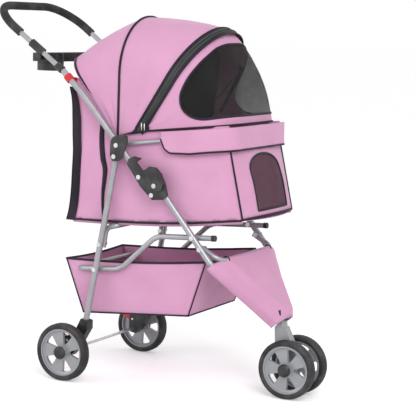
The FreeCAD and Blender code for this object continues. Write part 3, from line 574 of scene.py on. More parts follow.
def cut_piece(name, flat, faces, place, material, node, outward, thickness=1.4):
    """Cabin cloth cut to a pattern: flat holds the pattern's points and place says where each of them goes."""
    used = sorted({i for face in faces for i in face})
    number = {old: new for new, old in enumerate(used)}
    corners = [place(*flat[i]) for i in used]
    faces = [tuple(number[i] for i in face) for face in faces]
    faces = facing(corners, faces, faces[len(faces) // 2], outward)
    piece = mesh_object(name, corners, faces, material, uvs=[(flat[i][0] * MM, flat[i][1] * MM) for i in used])
    area = sum(face.area for face in piece.data.polygons)
    give_thickness(piece, thickness)
    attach(piece, "cabin")
    if node:
        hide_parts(node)
    return piece, area


def declare_sheet(piece, area, width, length):
    """The sheet's cut length, held between limits that the area of the cut sets; it is worked out but not kept, and the
    piece comes back as it is.
    """
    length = min(max(length, area / width * 1.002), area / width / 0.31)
    return piece


# ---------------------------------------------------------------- front of the canopy with its window
FRONT_ARCHES = [ZIP, BROW, RIM_EDGE]
SHARE_SCALE = 300.0
ACROSS_SCALE = 420.0


def share_through(specs, x, z):
    """The share of a list of arches whose leg passes through a place in the side view."""
    low, high = 0.0, 1.0
    for _ in range(40):
        middle = (low + high) / 2
        foot_x, foot_z, angle = between(specs, middle)[:3]
        turn = math.radians(angle)
        if math.cos(turn) * (z - foot_z) - math.sin(turn) * (x - foot_x) < 0:
            low = middle
        else:
            high = middle
    return (low + high) / 2


def front_flat(x, z):
    """A side-view place as a point of the front panel's pattern, on the left."""
    share = share_through(FRONT_ARCHES, x, z)
    foot_x, foot_z, _, reach, half, corner = between(FRONT_ARCHES, share)
    rise = min(math.hypot(x - foot_x, z - foot_z), reach)
    leg = reach - corner
    way = rise if rise <= leg else leg + corner * math.asin(min(1.0, (rise - leg) / corner))
    total = leg + corner * math.pi / 2 + half - corner
    return (-(1 - way / total) * ACROSS_SCALE, share * SHARE_SCALE)


def front_place(u, v, lift=0.0):
    spot = canopy_spot(FRONT_ARCHES, u / ACROSS_SCALE, v / SHARE_SCALE, 3.0, 1.6, 3.0)
    if lift:
        spot = spot + arch_spot(between(FRONT_ARCHES, v / SHARE_SCALE), u / ACROSS_SCALE)[1] * lift * MM
    return spot


side_line = side_curve([(403, 712), (364, 706), (330, 711), (305, 729), (297, 759), (312, 797), (337, 840),
                        (353, 866), (361, 882)], 5)
left_window = [front_flat(spot.x, spot.y) for spot in side_line]
low_cross = front_flat(434, 716.5)[1]
high_cross = left_window[-1][1]
window_flat = ([(-ACROSS_SCALE * 0.2, low_cross)] + left_window + [(0.0, high_cross - 1)]
               + [(-u, v) for u, v in reversed(left_window)] + [(ACROSS_SCALE * 0.2, low_cross)])
front_outline = [(-ACROSS_SCALE, 0), (ACROSS_SCALE, 0), (ACROSS_SCALE, SHARE_SCALE), (-ACROSS_SCALE, SHARE_SCALE)]
flat, cloth_faces, hole_faces = cut_pattern(front_outline, [window_flat], 7.5)
front, area = cut_piece("canopy_front", flat, cloth_faces, front_place, PINK, "canopy_front_panel", canopy_outward)
declare_sheet(front, area, 0.86, 0.33)
window, area = cut_piece("canopy_window", flat, hole_faces[0], lambda u, v: front_place(u, v, -0.8), WINDOW,
                         "canopy_mesh", canopy_outward, thickness=0.5)
declare_sheet(window, area, 0.72, 0.26)

window_edge = [front_place(u, v, 0.7) for u, v in closed_line(window_flat, 9.0)]
tube_along("canopy_window_binding", window_edge, 3.0 * MM, TAPE, "cabin", 8, 0.42, closed=True,
           up=canopy_outward)

# ---------------------------------------------------------------- bow piping, zip and hems of the canopy
def arch_line(spec, count, lift):
    """Places along a whole arch, from its left foot to its right foot."""
    return [arch_spot(spec, -1 + 2 * i / (count - 1), lift)[0] for i in range(count)]


bow = tube_along("canopy_bow_piping", arch_line(BOW, 91, 1.2), 3.2 * MM, TAPE, "cabin", 10)
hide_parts("canopy_bow")


def zip_rows(offsets, lift):
    return [arch_line(zip_spec(offset), 141, lift) for offset in offsets]


def zip_spec(offset):
    """The arch of the zip, moved across its band by so many millimetres."""
    foot_x, foot_z, angle, reach, half, corner = ZIP
    turn = math.radians(angle)
    return (foot_x + offset * math.sin(turn), foot_z - offset * math.cos(turn), angle - offset * 0.03,
            reach + offset * 0.1, half, corner)


cloth_sheet("canopy_zip_tape", zip_rows([-6, -2.5, 1, 4.5, 9.5, 13, 16.5, 20], 2.2),
            TAPE, "cabin", "canopy_zip_band", outward=canopy_outward,
            thickness=1.0)


def read_box(tree, name, kind, value):
    """A named input of a Geometry Nodes tree."""
    socket = tree.interface.new_socket(name, in_out="INPUT", socket_type=kind)
    if value is not None:
        socket.default_value = value
    return socket


def along_line_tree(name, material):
    """Stands one small piece after another along a curve: teeth of a zip, stitches of a seam."""
    tree = bpy.data.node_groups.new(name, "GeometryNodeTree")
    read_box(tree, "Line", "NodeSocketGeometry", None)
    spacing = read_box(tree, "Spacing", "NodeSocketFloat", 0.002)
    size = read_box(tree, "Piece Size", "NodeSocketVector", (0.0016, 0.0035, 0.001))
    tree.interface.new_socket("Pieces", in_out="OUTPUT", socket_type="NodeSocketGeometry")
    source = tree.nodes.new("NodeGroupInput")
    to_points = tree.nodes.new("GeometryNodeCurveToPoints")
    to_points.mode = "LENGTH"
    block = tree.nodes.new("GeometryNodeMeshCube")
    place = tree.nodes.new("GeometryNodeInstanceOnPoints")
    real = tree.nodes.new("GeometryNodeRealizeInstances")
    paint = tree.nodes.new("GeometryNodeSetMaterial")
    paint.inputs["Material"].default_value = material
    result = tree.nodes.new("NodeGroupOutput")
    tree.links.new(source.outputs["Line"], to_points.inputs["Curve"])
    tree.links.new(source.outputs["Spacing"], to_points.inputs["Length"])
    tree.links.new(source.outputs["Piece Size"], block.inputs["Size"])
    tree.links.new(to_points.outputs["Points"], place.inputs["Points"])
    tree.links.new(to_points.outputs["Rotation"], place.inputs["Rotation"])
    tree.links.new(block.outputs["Mesh"], place.inputs["Instance"])
    tree.links.new(place.outputs["Instances"], real.inputs["Geometry"])
    tree.links.new(real.outputs["Geometry"], paint.inputs["Geometry"])
    tree.links.new(paint.outputs["Geometry"], result.inputs["Pieces"])
    return tree, spacing.identifier, size.identifier


def row_of_pieces(name, lines, material, spacing_mm, size_mm, body):
    """Pieces along one or more lines, made by the tree above and turned into one plain mesh."""
    tree, spacing_id, size_id = along_line_tree(name + "_tree", material)
    curve = bpy.data.curves.new(name, "CURVE")
    curve.dimensions = "3D"
    curve.twist_mode = "Z_UP"
    for line in lines:
        spline = curve.splines.new("POLY")
        spline.points.add(len(line) - 1)
        for point, spot in zip(spline.points, line):
            point.co = (*spot, 1)
    holder = bpy.data.objects.new(name, curve)
    bpy.context.scene.collection.objects.link(holder)
    modifier = holder.modifiers.new("row", "NODES")
    modifier.node_group = tree
    modifier[spacing_id] = spacing_mm * MM
    modifier[size_id] = [side * MM for side in size_mm]
    graph = bpy.context.evaluated_depsgraph_get()
    mesh = bpy.data.meshes.new_from_object(holder.evaluated_get(graph))
    bpy.data.objects.remove(holder)
    if not mesh.materials:
        mesh.materials.append(material)
    piece = bpy.data.objects.new(name, mesh)
    bpy.context.scene.collection.objects.link(piece)
    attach(piece, body)
    return piece


TEETH = moulded_material("zip_teeth", (0.035, 0.037, 0.038), 0.35, 900.0, 0.1, 0.3)
ZIP_GREY = cloth_material("zip_lane_tape", (0.035, 0.04, 0.04), (0.06, 0.066, 0.066), 900.0, 0.1)
row_of_pieces("canopy_zip_teeth", [arch_line(zip_spec(7), 261, 3.0)], TEETH, 2.2, (1.4, 5.0, 1.4), "cabin")
cloth_sheet("canopy_zip_lane", zip_rows([1, 5, 9, 13], 2.7), ZIP_GREY, "cabin",
            outward=canopy_outward, thickness=0.5)
for name, offset in (("canopy_zip_edge_rear", -6), ("canopy_zip_edge_front", 20)):
    tube_along(name, arch_line(zip_spec(offset), 121, 2.2), 1.8 * MM, TAPE, "cabin", 8)

# hem tape along the rear opening, and the trim along the canopy's lower edge
hem_rows = [arch_line(between([HEM, BOW], 0.004 + 0.085 * j / 4), 121, 1.0) for j in range(5)]
cloth_sheet("canopy_hem_tape", hem_rows, TAPE, "cabin", outward=canopy_outward,
            thickness=0.8)
tube_along("canopy_lower_trim", arch_line(RIM_EDGE, 141, 1.4), 2.7 * MM, TAPE, "cabin", 8)


DOME = [HEM, BOW, CROWN, ZIP, BROW, RIM_EDGE]


def dome_half(x, z):
    """Half the canopy's width, in millimetres, at a place in the side view."""
    foot_x, foot_z, _, reach, half, corner = between(DOME, share_through(DOME, x, z))
    rise = math.hypot(x - foot_x, z - foot_z) - (reach - corner)
    if rise <= 0:
        return half
    return half - corner + math.sqrt(max(0.0, corner ** 2 - min(rise, corner) ** 2))


def outward_side(side):
    return lambda spot: Vector((0, side, 0))


# The first side patch is a black sheet inside the rear of the canopy on each side: painted shade, standing for the dark
# inside seen through the window.
INNER_SHADE_SHEET = [(124, 672), (192, 676), (242, 697), (246, 730), (253, 800), (259, 866), (235, 885), (190, 900), (128, 900)]
GUSSET = [(132, 653), (162, 662), (178, 679), (190, 696), (205, 700), (213, 666), (168, 657)]
SIDE_PATCHES = [("inner_shade", INNER_SHADE_SHEET, 9.0, -9.0, -1, 0.14, 0.24, "canopy_top"),
                ("zip_gusset", GUSSET, 5.0, 2.4, 1, 0.085, 0.045, "canopy_zip_tape")]
for where, side in SIDES.items():
    for label, outline, step, lift, turned, width, length, under_it in SIDE_PATCHES:
        flat, faces, _ = cut_pattern(outline, [], step)
        patch, area = cut_piece(f"canopy_{label}_{where}", flat, faces,
                                lambda x, z, side=side, lift=lift: at(x, side * (dome_half(x, z) + lift), z), TAPE,
                                None, outward_side(turned * side), thickness=0.8)
        declare_sheet(patch, area, width, length)


# tether strap inside the canopy with its buckle, the thin cord beside it, and the zip pulls
strap = smooth_line([at(325, 138, 847), at(320, 138, 820), at(292, 138, 762), at(266, 136, 710)], 6)
tube_along("canopy_strap", strap, 4.5 * MM, TAPE, "cabin", 8, 0.25)
tube_along("canopy_strap_buckle", [at(327, 137, 850), at(322, 137, 832), at(319, 137, 822)], 9 * MM, TAPE, "cabin",
           10, 0.45)
ZIP_PULLS = [((189.7, 688), (191, 667)), ((198.7, 686), (199.3, 667))]
tube_along("canopy_cord", [at(323, 138, 825), at(288, 137, 784), at(251, 136, 742)], 1.1 * MM, TAPE, "cabin", 6)
for where, side in SIDES.items():
    for number, ends in enumerate(ZIP_PULLS):
        tube_along(f"canopy_zip_pull_{number + 1}_{where}", [at(x, side * (dome_half(x, z) + 5.5), z) for x, z in ends],
                   1.6 * MM, RIVET, "cabin", 8, 0.7)


# ---------------------------------------------------------------- cabin
CABIN_SIDE = [(-17, 418), (305, 440), (481, 461), (439, 640), (436, 694.2), (345, 683.4), (335, 686), (168, 667),
              (128, 655), (-4, 790), (-17, 790)]
CABIN_HALF = 147.0
DOOR_BELLY = 26


def edge_gap(spot, outline):
    """How far a pattern point is from the pattern's edge, in millimetres."""
    x, y = spot
    best = 1e9
    for (ax, ay), (bx, by) in zip(outline, outline[1:] + outline[:1]):
        dx, dy = bx - ax, by - ay
        t = max(0, min(1, ((x - ax) * dx + (y - ay) * dy) / (dx * dx + dy * dy)))
        best = min(best, math.hypot(ax + t * dx - x, ay + t * dy - y))
    return best


def side_place(side, lift=0.0):
    """The cabin's side: it hangs from the rim, bellies out a little and holds soft cross folds."""
    def place(x, z):
        held = min(1.0, edge_gap((x, z), CABIN_SIDE) / 45)
        below_rim = min(1.0, max(0.0, (636 - z) / 50))
        spot = at(x, 0, z)
        soft = 2.2 * ripple(Vector((spot.x, side * 0.3, spot.z * 1.8)), 95, 7.0)
        creases = 0.8 * ripple(Vector((spot.x * 0.6 + spot.z * 0.8, side * 0.3, spot.z * 2.2)), 40, 9.0)
        bulge = held * below_rim * (4.5 + soft + creases)
        return at(x, side * (CABIN_HALF + min(bulge, 8.0) + lift), z)
    return place


for where, side in SIDES.items():
    flat, cloth_faces, _ = cut_pattern(CABIN_SIDE, [], 9.0)
    panel, area = cut_piece(f"cabin_side_{where}", flat, cloth_faces, side_place(side), PINK, "cabin_walls",
                            outward_side(side))
    declare_sheet(panel, area, 0.50, 0.372)


def patch_rows(corners, rows_count, columns_count, belly, seed, outward, gap=0.16):
    """Rows across a four-cornered cloth: corners run low left, low right, high right, high left."""
    a, b, c, d = corners
    rows = []
    for j in range(rows_count):
        v = j / (rows_count - 1)
        row = []
        for i in range(columns_count):
            u = i / (columns_count - 1)
            spot = a.lerp(b, u).lerp(d.lerp(c, u), v)
            held = min(1.0, min(u, 1 - u, v, 1 - v) / gap)
            push = belly * held * (2 - held) + held * belly * 0.5 * ripple(spot, 80, seed)
            row.append(spot + outward * push * MM)
        rows.append(row)
    return rows


back_rows = patch_rows([at(-17, -147, 418), at(-17, 147, 418), at(-17, 147, 790), at(-17, -147, 790)], 33, 27,
                       4.0, 3.0, Vector((-1, 0, 0)))
cloth_sheet("cabin_back", back_rows, PINK, "cabin", "cabin_walls", outward=lambda s: Vector((-1, 0, 0)))
under_rows = patch_rows([at(-17, -147, 416), at(481, -147, 460), at(481, 147, 460), at(-17, 147, 416)], 27, 45,
                        4.0, 4.0, Vector((0, 0, -1)))
for row in under_rows:
    for number, spot in enumerate(row):
        push = max(0.0, (number / 44 - 0.8) / 0.2) ** 1.5
        spot.x += push * DOOR_BELLY * (1 - (spot.y / 0.147) ** 2) * MM
cloth_sheet("cabin_underside", under_rows, PINK, "cabin", "cabin_walls",
            outward=lambda s: Vector((0, 0, -1)))

# ---------------------------------------------------------------- floor pad
def pad_shape():
    """A quilted pad: crowned, rounded at the rim, and pulled down along its sewn channels."""
    long_count, wide_count = 97, 57
    length, width, thick = 470, 276, 15
    rows_up, rows_down = [], []
    for j in range(wide_count):
        v = -1 + 2 * j / (wide_count - 1)
        up, down = [], []
        for i in range(long_count):
            u = -1 + 2 * i / (long_count - 1)
            round_u = math.copysign(1 - (1 - abs(u)) ** 1.6, u)
            round_v = math.copysign(1 - (1 - abs(v)) ** 1.6, v)
            edge = max(0.0, (1 - abs(u) ** 6) * (1 - abs(v) ** 6)) ** 0.5
            channel = min(abs(u - seam) for seam in (-0.5, 0.0, 0.5))
            pull = 0.45 * math.exp(-(channel / 0.035) ** 2)
            crown = thick * edge * (1 - pull) * (1 + 0.05 * noise.noise(Vector((u * 4, v * 4, 2))))
            x = 231 + round_u * length / 2
            z = 436.5 + (x + 17) * 0.06225
            up.append(at(x, round_v * width / 2, z + 2 + crown))
            down.append(at(x, round_v * width / 2, z + 2 - 1.5 * edge))
        rows_up.append(up)
        rows_down.append(down)
    corners = [s for row in rows_up for s in row] + [s for row in rows_down for s in row]
    faces = grid_faces(wide_count, long_count)
    base = wide_count * long_count
    faces += [tuple(base + i for i in reversed(face)) for face in grid_faces(wide_count, long_count)]
    uvs = [(s.x, s.y) for s in corners]
    # The pad wears the darker pink cloth: painted shade.
    pad = mesh_object("cabin_pad", corners, faces, PINK_SHADED, uvs=uvs)
    turn_outward(pad)
    return pad


pad = pad_shape()
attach(pad, "cabin")
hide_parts("cabin_floor")

# ---------------------------------------------------------------- door
DOOR_FOOT, DOOR_HEAD = (481, 462), (439, 640)
door_long = math.hypot(DOOR_HEAD[0] - DOOR_FOOT[0], DOOR_HEAD[1] - DOOR_FOOT[1])
door_up = ((DOOR_HEAD[0] - DOOR_FOOT[0]) / door_long, (DOOR_HEAD[1] - DOOR_FOOT[1]) / door_long)
DOOR_REACH = door_long * 1.2
DOOR_OUT = Vector((door_up[1], 0, -door_up[0]))


def door_place(y, s, lift=0.0):
    """A place on the door: y across and s up from its foot, in millimetres."""
    held = min(1.0, min(CABIN_HALF - abs(y), s, DOOR_REACH - s) / 30)
    spot = at(DOOR_FOOT[0] + door_up[0] * s, y, DOOR_FOOT[1] + door_up[1] * s)
    belly = DOOR_BELLY * (1 - (y / CABIN_HALF) ** 2) * (1 - 0.62 * min(1.0, max(0.0, (s - 70) / 100)) ** 1.5)
    push = belly + max(0.0, held) * (0.8 + 1.2 * ripple(spot, 90, 11.0))
    return spot + DOOR_OUT * (push + lift) * MM


def door_window():
    """The arched window of the door."""
    low, shoulder, half = 16.0, 112.0, 84.0
    line = [(-half, low), (half, low), (half, shoulder)]
    for step in range(1, 16):
        turn = math.pi * step / 16
        line.append((half * math.cos(turn), shoulder + 46 * math.sin(turn) ** 0.8))
    return line + [(-half, shoulder)]


door_outline = [(-CABIN_HALF, 0), (CABIN_HALF, 0), (CABIN_HALF, DOOR_REACH), (-CABIN_HALF, DOOR_REACH)]
flat, cloth_faces, hole_faces = cut_pattern(door_outline, [door_window()], 8.0)
door, area = cut_piece("cabin_door_panel", flat, cloth_faces, door_place, PINK, "cabin_door", lambda s: DOOR_OUT)
declare_sheet(door, area, 0.294, 0.222)
door_mesh, area = cut_piece("cabin_door_window", flat, hole_faces[0], lambda y, s: door_place(y, s, -0.6),
                            DOOR_WINDOW, "door_mesh", lambda s: DOOR_OUT, thickness=0.5)
declare_sheet(door_mesh, area, 0.17, 0.15)
tube_along("door_window_binding", [door_place(y, s, 0.7) for y, s in closed_line(door_window(), 6.0)],
           2.8 * MM, TAPE, "cabin", 8, 0.42, closed=True, up=lambda s: DOOR_OUT)

# ---------------------------------------------------------------- rim cover
COVER_REAR, COVER_FRONT, COVER_HALF, COVER_BEND = 250, 456.4, 160.2, 34


def cover_heights(x):
    """The lower and upper edge of the rim cover above a place along the cabin."""
    low_line = [(COVER_REAR, 650), (262, 626), (277, 616), (334, 618), (390, 626), (COVER_FRONT, 634)]
    for (ax, az), (bx, bz) in zip(low_line, low_line[1:]):
        if x <= bx:
            low = az + (bz - az) * max(0, x - ax) / (bx - ax)
            break
    else:
        low = low_line[-1][1]
    return low, 668 + (692 - 668) * (x - COVER_REAR) / (COVER_FRONT - COVER_REAR)


def cover_route(count):
    """Places round the front of the cabin at the level of the rim: x, y and the direction outwards."""
    straight = COVER_FRONT - COVER_BEND - COVER_REAR
    bend, across = COVER_BEND * math.pi / 2, 2 * (COVER_HALF - COVER_BEND)
    total = 2 * straight + 2 * bend + across
    route = []
    for i in range(count):
        way = total * i / (count - 1)
        mirror = way > total / 2
        way = total - way if mirror else way
        if way < straight:
            x, y, out = COVER_REAR + way, COVER_HALF, (0, 1)
        elif way < straight + bend:
            turn = (way - straight) / COVER_BEND
            out = (math.sin(turn), math.cos(turn))
            x = COVER_FRONT - COVER_BEND + COVER_BEND * out[0]
            y = COVER_HALF - COVER_BEND + COVER_BEND * out[1]
        else:
            x, y, out = COVER_FRONT, COVER_HALF - COVER_BEND - (way - straight - bend), (1, 0)
        side = -1 if mirror else 1
        route.append((x, side * y, Vector((out[0], side * out[1], 0))))
    return route


COVER_ROUTE = cover_route(121)


def cover_row(share, lift=0.0):
    """A row of the rim cover: share 0 is its upper edge and 1 its lower edge."""
    row = []
    for number, (x, y, out) in enumerate(COVER_ROUTE):
        low, high = cover_heights(x)
        z = high + (low - high) * share
        uneven = 0.5 + 0.5 * noise.noise(Vector((number * 0.1, 0, 4)))
        flare = share ** 2 * (1.2 + 1.6 * math.sin(number * 0.55) * uneven)
        row.append(at(x, y, z) + out * (flare + lift) * MM)
    return row


cloth_sheet("rim_cover_flap", [cover_row(j / 9) for j in range(10)], PINK, "cabin", "rim_cover",
            outward=lambda s: s - at(330, 0, 650), thickness=1.3)
tube_along("rim_cover_binding", cover_row(1.0), 2.4 * MM, TAPE, "cabin", 8, 0.6,
           up=lambda s: Vector((s.x - at(330, 0, 0).x, s.y, 0)).normalized())

# ---------------------------------------------------------------- basket
BASKET_LOW = [(13, 172), (329, 200)]
BASKET_TOP = [(-36, 313), (381, 346)]
LOW_HALF, TOP_HALF = 130, 142


def basket_corner(level, end, side):
    x, z = (BASKET_LOW, BASKET_TOP)[level][end]
    return at(x, side * (LOW_HALF, TOP_HALF)[level], z)


def basket_panel(corners, outward, belly, dip, seed, count=(25, 45)):
    """One side of the basket: its top edge dips between its ends and its middle bellies out."""
    a, b, c, d = corners
    rows = []
    for j in range(count[0]):
        v = j / (count[0] - 1)
        row = []
        for i in range(count[1]):
            u = i / (count[1] - 1)
            spot = a.lerp(b, u).lerp(d.lerp(c, u), v)
            bow = math.sin(math.pi * u)
            hold = min(1.0, min(u, 1 - u) / 0.12) * min(1.0, v / 0.1)
            soft = 2.2 * ripple(spot, 75, seed) + 1.0 * ripple(spot, 30, seed + 3)
            push = hold * (belly * (0.5 + 0.5 * math.sin(math.pi * v)) + soft)
            row.append(spot + outward * push * MM - Vector((0, 0, dip * bow * v * MM)))
        rows.append(row)
    return rows


basket_sides = {}
for where, side in SIDES.items():
    corners = [basket_corner(0, 0, side), basket_corner(0, 1, side), basket_corner(1, 1, side),
               basket_corner(1, 0, side)]
    rows = basket_panel(corners, Vector((0, side, 0.1)), 3.0, 6.0, 20 + side)
    basket_sides[where] = rows
    cloth_sheet(f"basket_side_{where}", rows, PINK, "basket_frame", "basket",
                outward=outward_side(side))
ends = {"front": (1, Vector((1, 0, -0.3))), "rear": (0, Vector((-1, 0, -0.3)))}
basket_ends = {}
for name, (end, out) in ends.items():
    corners = [basket_corner(0, end, -1), basket_corner(0, end, 1), basket_corner(1, end, 1),
               basket_corner(1, end, -1)]
    rows = basket_panel(corners, out.normalized(), 3.0, 5.0, 30 + end, (25, 31))
    basket_ends[name] = rows
    cloth_sheet(f"basket_{name}", rows, PINK, "basket_frame", "basket",
                outward=lambda s, o=out: o)
floor_rows = patch_rows([basket_corner(0, 0, -1), basket_corner(0, 1, -1), basket_corner(0, 1, 1),
                         basket_corner(0, 0, 1)], 27, 39, 2.0, 33.0, Vector((0, 0, -1)))
cloth_sheet("basket_floor", floor_rows, PINK, "basket_frame", "basket",
            outward=lambda s: Vector((0, 0, -1)))

rim_line = (basket_sides["left"][-1] + list(reversed(basket_ends["front"][-1]))[1:]
            + list(reversed(basket_sides["right"][-1]))[1:] + basket_ends["rear"][-1][1:-1])
bead_lines = {"basket_rim_piping": (rim_line, True, 3.0),
              "basket_floor_piping": (basket_sides["left"][0] + list(reversed(basket_ends["front"][0]))[1:]
                                      + list(reversed(basket_sides["right"][0]))[1:] + basket_ends["rear"][0][1:-1],
                                      True, 2.2)}
for end, along in (("rear", 0), ("front", -1)):
    for where in SIDES:
        bead_lines[f"basket_corner_{end}_{where}"] = ([row[along] for row in basket_sides[where]], False, 2.0)
for name, (line, closed, radius) in bead_lines.items():
    tube_along(name, line, radius * MM, TAPE, "basket_frame", 8, closed=closed)

# ---------------------------------------------------------------- apron over the front legs
LEG_BEND = (416, 337)
LEG_RUN, LEG_DROP = 118, 141
LEG_WAY = Vector((LEG_RUN, 0, -LEG_DROP)).normalized()
LEG_OUT = Vector((LEG_DROP, 0, LEG_RUN)).normalized()
LEG_LONG = math.hypot(LEG_RUN, LEG_DROP)


def apron_section(way):
    """The apron across the two front legs, so far down them: over each leg and taut between them."""
    spread = 167 - 133 * min(1.0, max(0.0, way / LEG_LONG))
    share = min(1.0, max(0.0, (way + 6) / 178))
    lift = 27.6 + 5.6 * share - 13 * max(0.0, (way - 172) / 17)
    flat_half = 122 + (19 - 122) * share
    skirt = -9 - 9 * share
    half = [(skirt, spread + 9.4), (-1, spread + 10.2), (6, spread + 8.6), (10, spread + 2),
            ((10 + lift) / 2 - 1.5, (spread + flat_half) / 2), (lift - 1.5, flat_half + 4), (lift, flat_half - 8),
            (lift - 1.0, flat_half / 2)]
    points = [Vector((n, y, 0)) for n, y in half] + [Vector((lift - 1.4, 0, 0))]
    points += [Vector((n, -y, 0)) for n, y in reversed(half)]
    start = at(LEG_BEND[0], 0, LEG_BEND[1]) + LEG_WAY * way * MM
    row = []
    for spot in resample(smooth_line(points, 6), 61):
        place = start + LEG_OUT * spot.x * MM + Vector((0, spot.y * MM, 0))
        row.append(place + LEG_OUT * 0.9 * ripple(place, 55, 41) * min(1.0, share * 5) * MM)
    return row


apron_grid = [apron_section(-8 + 197 * j / 40) for j in range(41)]
cloth_sheet("apron_panel", apron_grid, PINK, "front_frame", "front_apron",
            outward=lambda s: Vector((0.77, 0, 0.64)))
BAR_X, BAR_Z, SLEEVE = 428, 354, 8.6
sleeve_rows = []
for step in range(13):
    turn = math.radians(35 - 250 * step / 12)
    sleeve_rows.append([at(BAR_X + SLEEVE * math.cos(turn), y, BAR_Z + SLEEVE * math.sin(turn))
                        for y in range(-122, 123, 6)])
cloth_sheet("apron_sleeve", sleeve_rows, LAVENDER, "front_frame",
            outward=lambda s: s - at(BAR_X, s.y / MM, BAR_Z), thickness=1.2)
for name, column in (("apron_edge_left", 0), ("apron_edge_right", -1)):
    tube_along(name, [row[column] for row in apron_grid], 1.6 * MM, PINK, "front_frame", 8)
tube_along("apron_foot_edge", apron_grid[-1], 1.6 * MM, PINK, "front_frame", 8)
for where, side in SIDES.items():
    ring = [at(BAR_X + 9.4 * math.cos(turn), side * 121, BAR_Z + 9.4 * math.sin(turn))
            for turn in np.linspace(0, 2 * math.pi, 25)[:-1]]
    tube_along(f"apron_sleeve_ring_{where}", ring, 1.7 * MM, TAPE, "front_frame", 8, closed=True)

# ---------------------------------------------------------------- tapes and piping on the cabin
FLOOR_EDGE = [(-16, 421), (140, 427), (305, 439), (481, 462)]
REAR_STRIP = [(-26, 768), (-15, 735), (-9, 690), (-7, 640), (-5, 600), (-7, 545), (-9, 495), (-14, 450), (-22, 418)]
WAVY_STRIP = [(68.6, 674), (68.6, 634), (76, 590), (83, 560), (80, 515), (77.8, 470), (79.5, 428)]
for where, side in SIDES.items():
    face = outward_side(side)
    floor_line = side_curve(FLOOR_EDGE, 10)
    tube_along(f"cabin_floor_piping_{where}", [at(p.x, side * (CABIN_HALF + 2.2), p.y) for p in floor_line], 2.8 * MM,
               TAPE, "cabin", 8)
    gusset_rows = [[at(p.x, side * (CABIN_HALF + 1.5 - 7 * share), p.y - 9 * share) for p in floor_line]
                   for share in (0.0, 0.35, 0.7, 1.0)]
    cloth_sheet(f"cabin_floor_gusset_{where}", gusset_rows, PINK, "cabin",
                outward=face, thickness=1.0)
    strip = side_curve(REAR_STRIP, 6)
    widths = [5 + 6.5 * min(1.0, number / 12) for number in range(len(strip))]
    strip_rows = [[at(p.x + w * across, side * (CABIN_HALF + 2.5 + 2.5 * (1 - across * across)), p.y)
                   for across in (-1, -0.6, -0.2, 0.2, 0.6, 1)] for p, w in zip(strip, widths)]
    cloth_sheet(f"cabin_rear_strip_{where}", strip_rows, TAPE, "cabin", outward=face,
                thickness=1.0)
    for edge in (-1, 1):
        tube_along(f"cabin_rear_strip_edge_{where}_{'front' if edge > 0 else 'rear'}",
                   [at(p.x + w * edge, side * (CABIN_HALF + 3.2), p.y) for p, w in zip(strip, widths)], 1.9 * MM, TAPE,
                   "cabin", 8)
    wavy = side_curve(WAVY_STRIP, 8)
    wavy_width = [4 + 4 * math.sin(math.pi * min(1.0, 0.2 + number / len(wavy))) for number in range(len(wavy))]
    wavy_rows = [[side_place(side, 1.4 + 1.6 * (1 - across * across))(p.x + w * across, p.y)
                  for across in (-1, -0.5, 0, 0.5, 1)] for p, w in zip(wavy, wavy_width)]
    cloth_sheet(f"cabin_side_strip_{where}", wavy_rows, TAPE, "cabin", outward=face,
                thickness=1.0)
    door_side = [door_place(side * (CABIN_HALF - 1), s, 0.8) for s in np.linspace(2, DOOR_REACH - 2, 40)]
    tube_along(f"door_seam_{where}", door_side, 3.6 * MM, TAPE, "cabin", 8, 0.5, up=lambda s: DOOR_OUT)
tube_along("door_foot_piping", [door_place(y, 1.5, 0.8) for y in np.linspace(-CABIN_HALF, CABIN_HALF, 40)],
           2.6 * MM, TAPE, "cabin", 8)

# The table gives, for the cabin and the basket, the height that would stay put, in millimetres, and the share of the
# height that would be left when folding the frame flattens their cloth. Nothing here flattens it: each of their cloth
# pieces only gets a mesh of its own.
FLATTENED = {"cabin": (655, 0.3), "basket_frame": (320, 0.25)}
for piece in list(bpy.context.scene.objects):
    if piece.type != "MESH" or "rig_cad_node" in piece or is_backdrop(piece):
        continue
    for body, (still, share_left) in FLATTENED.items():
        if body_of(piece) == [body]:
            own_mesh(piece)

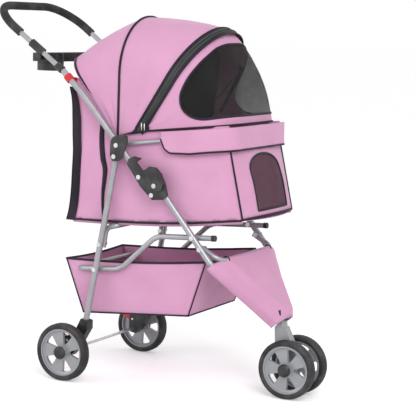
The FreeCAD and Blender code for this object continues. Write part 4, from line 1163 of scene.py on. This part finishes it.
# ---------------------------------------------------------------- floor, light and camera
floor_material, floor_tree, floor_shader = new_material("studio_floor")
floor_shader.inputs["Base Color"].default_value = (0.95, 0.95, 0.95, 1)
floor_shader.inputs["Roughness"].default_value = 0.9
floor_shader.inputs["Specular IOR Level"].default_value = 0.05
floor_rays = floor_tree.nodes.new("ShaderNodeLightPath")
floor_shader.inputs["Emission Color"].default_value = (1, 1, 1, 1)
floor_tree.links.new(math_node(floor_tree, "MULTIPLY", floor_rays.outputs["Is Camera Ray"], 0.3),
                     floor_shader.inputs["Emission Strength"])
floor = mesh_object("studio_floor", [(-60, -60, 0), (60, -60, 0), (60, 60, 0), (-60, 60, 0)], [(0, 1, 2, 3)],
                    floor_material)

world = bpy.data.worlds.new("studio")
bpy.context.scene.world = world
world.use_nodes = True
tree = world.node_tree
background = tree.nodes["Background"]
background.inputs["Color"].default_value = (1, 1, 1, 1)
rays = tree.nodes.new("ShaderNodeLightPath")
seen = math_node(tree, "MAXIMUM", rays.outputs["Is Camera Ray"],
                 math_node(tree, "MAXIMUM", rays.outputs["Is Glossy Ray"], rays.outputs["Is Transmission Ray"]))
level = tree.nodes.new("ShaderNodeMapRange")
level.inputs["To Min"].default_value = 0.72
level.inputs["To Max"].default_value = 1.0
tree.links.new(seen, level.inputs["Value"])
tree.links.new(level.outputs[0], background.inputs["Strength"])


def lamp(name, place, aim, size, power):
    data = bpy.data.lights.new(name, "AREA")
    data.size = size
    data.energy = power
    holder = bpy.data.objects.new(name, data)
    holder.location = place
    holder.rotation_mode = "QUATERNION"
    holder.rotation_quaternion = (Vector(aim) - Vector(place)).to_track_quat("-Z", "Y")
    bpy.context.scene.collection.objects.link(holder)


lamp("key_lamp", (2.2, -2.3, 2.6), (0, 0, 0.5), 1.8, 62)
lamp("side_lamp", (-2.6, -2.4, 1.6), (0, 0, 0.5), 2.0, 26)

camera_data = bpy.data.cameras.new("view")
camera_data.sensor_width = 36
camera_data.lens = 125.29
camera = bpy.data.objects.new("view", camera_data)
camera.location = (1.87095, -3.3297, 0.953)
aim = Vector((0.12599, 0, 0.47956)) - camera.location
forward = aim.normalized()
right = forward.cross(Vector((0, 0, 1))).normalized()
upward = right.cross(forward)
roll = math.radians(1.92)
right, upward = right * math.cos(roll) + upward * math.sin(roll), upward * math.cos(roll) - right * math.sin(roll)
camera.rotation_mode = "QUATERNION"
camera.rotation_quaternion = Matrix((right, upward, -forward)).transposed().to_quaternion()
bpy.context.scene.collection.objects.link(camera)
bpy.context.scene.camera = camera
bpy.context.scene.view_settings.view_transform = "Standard"
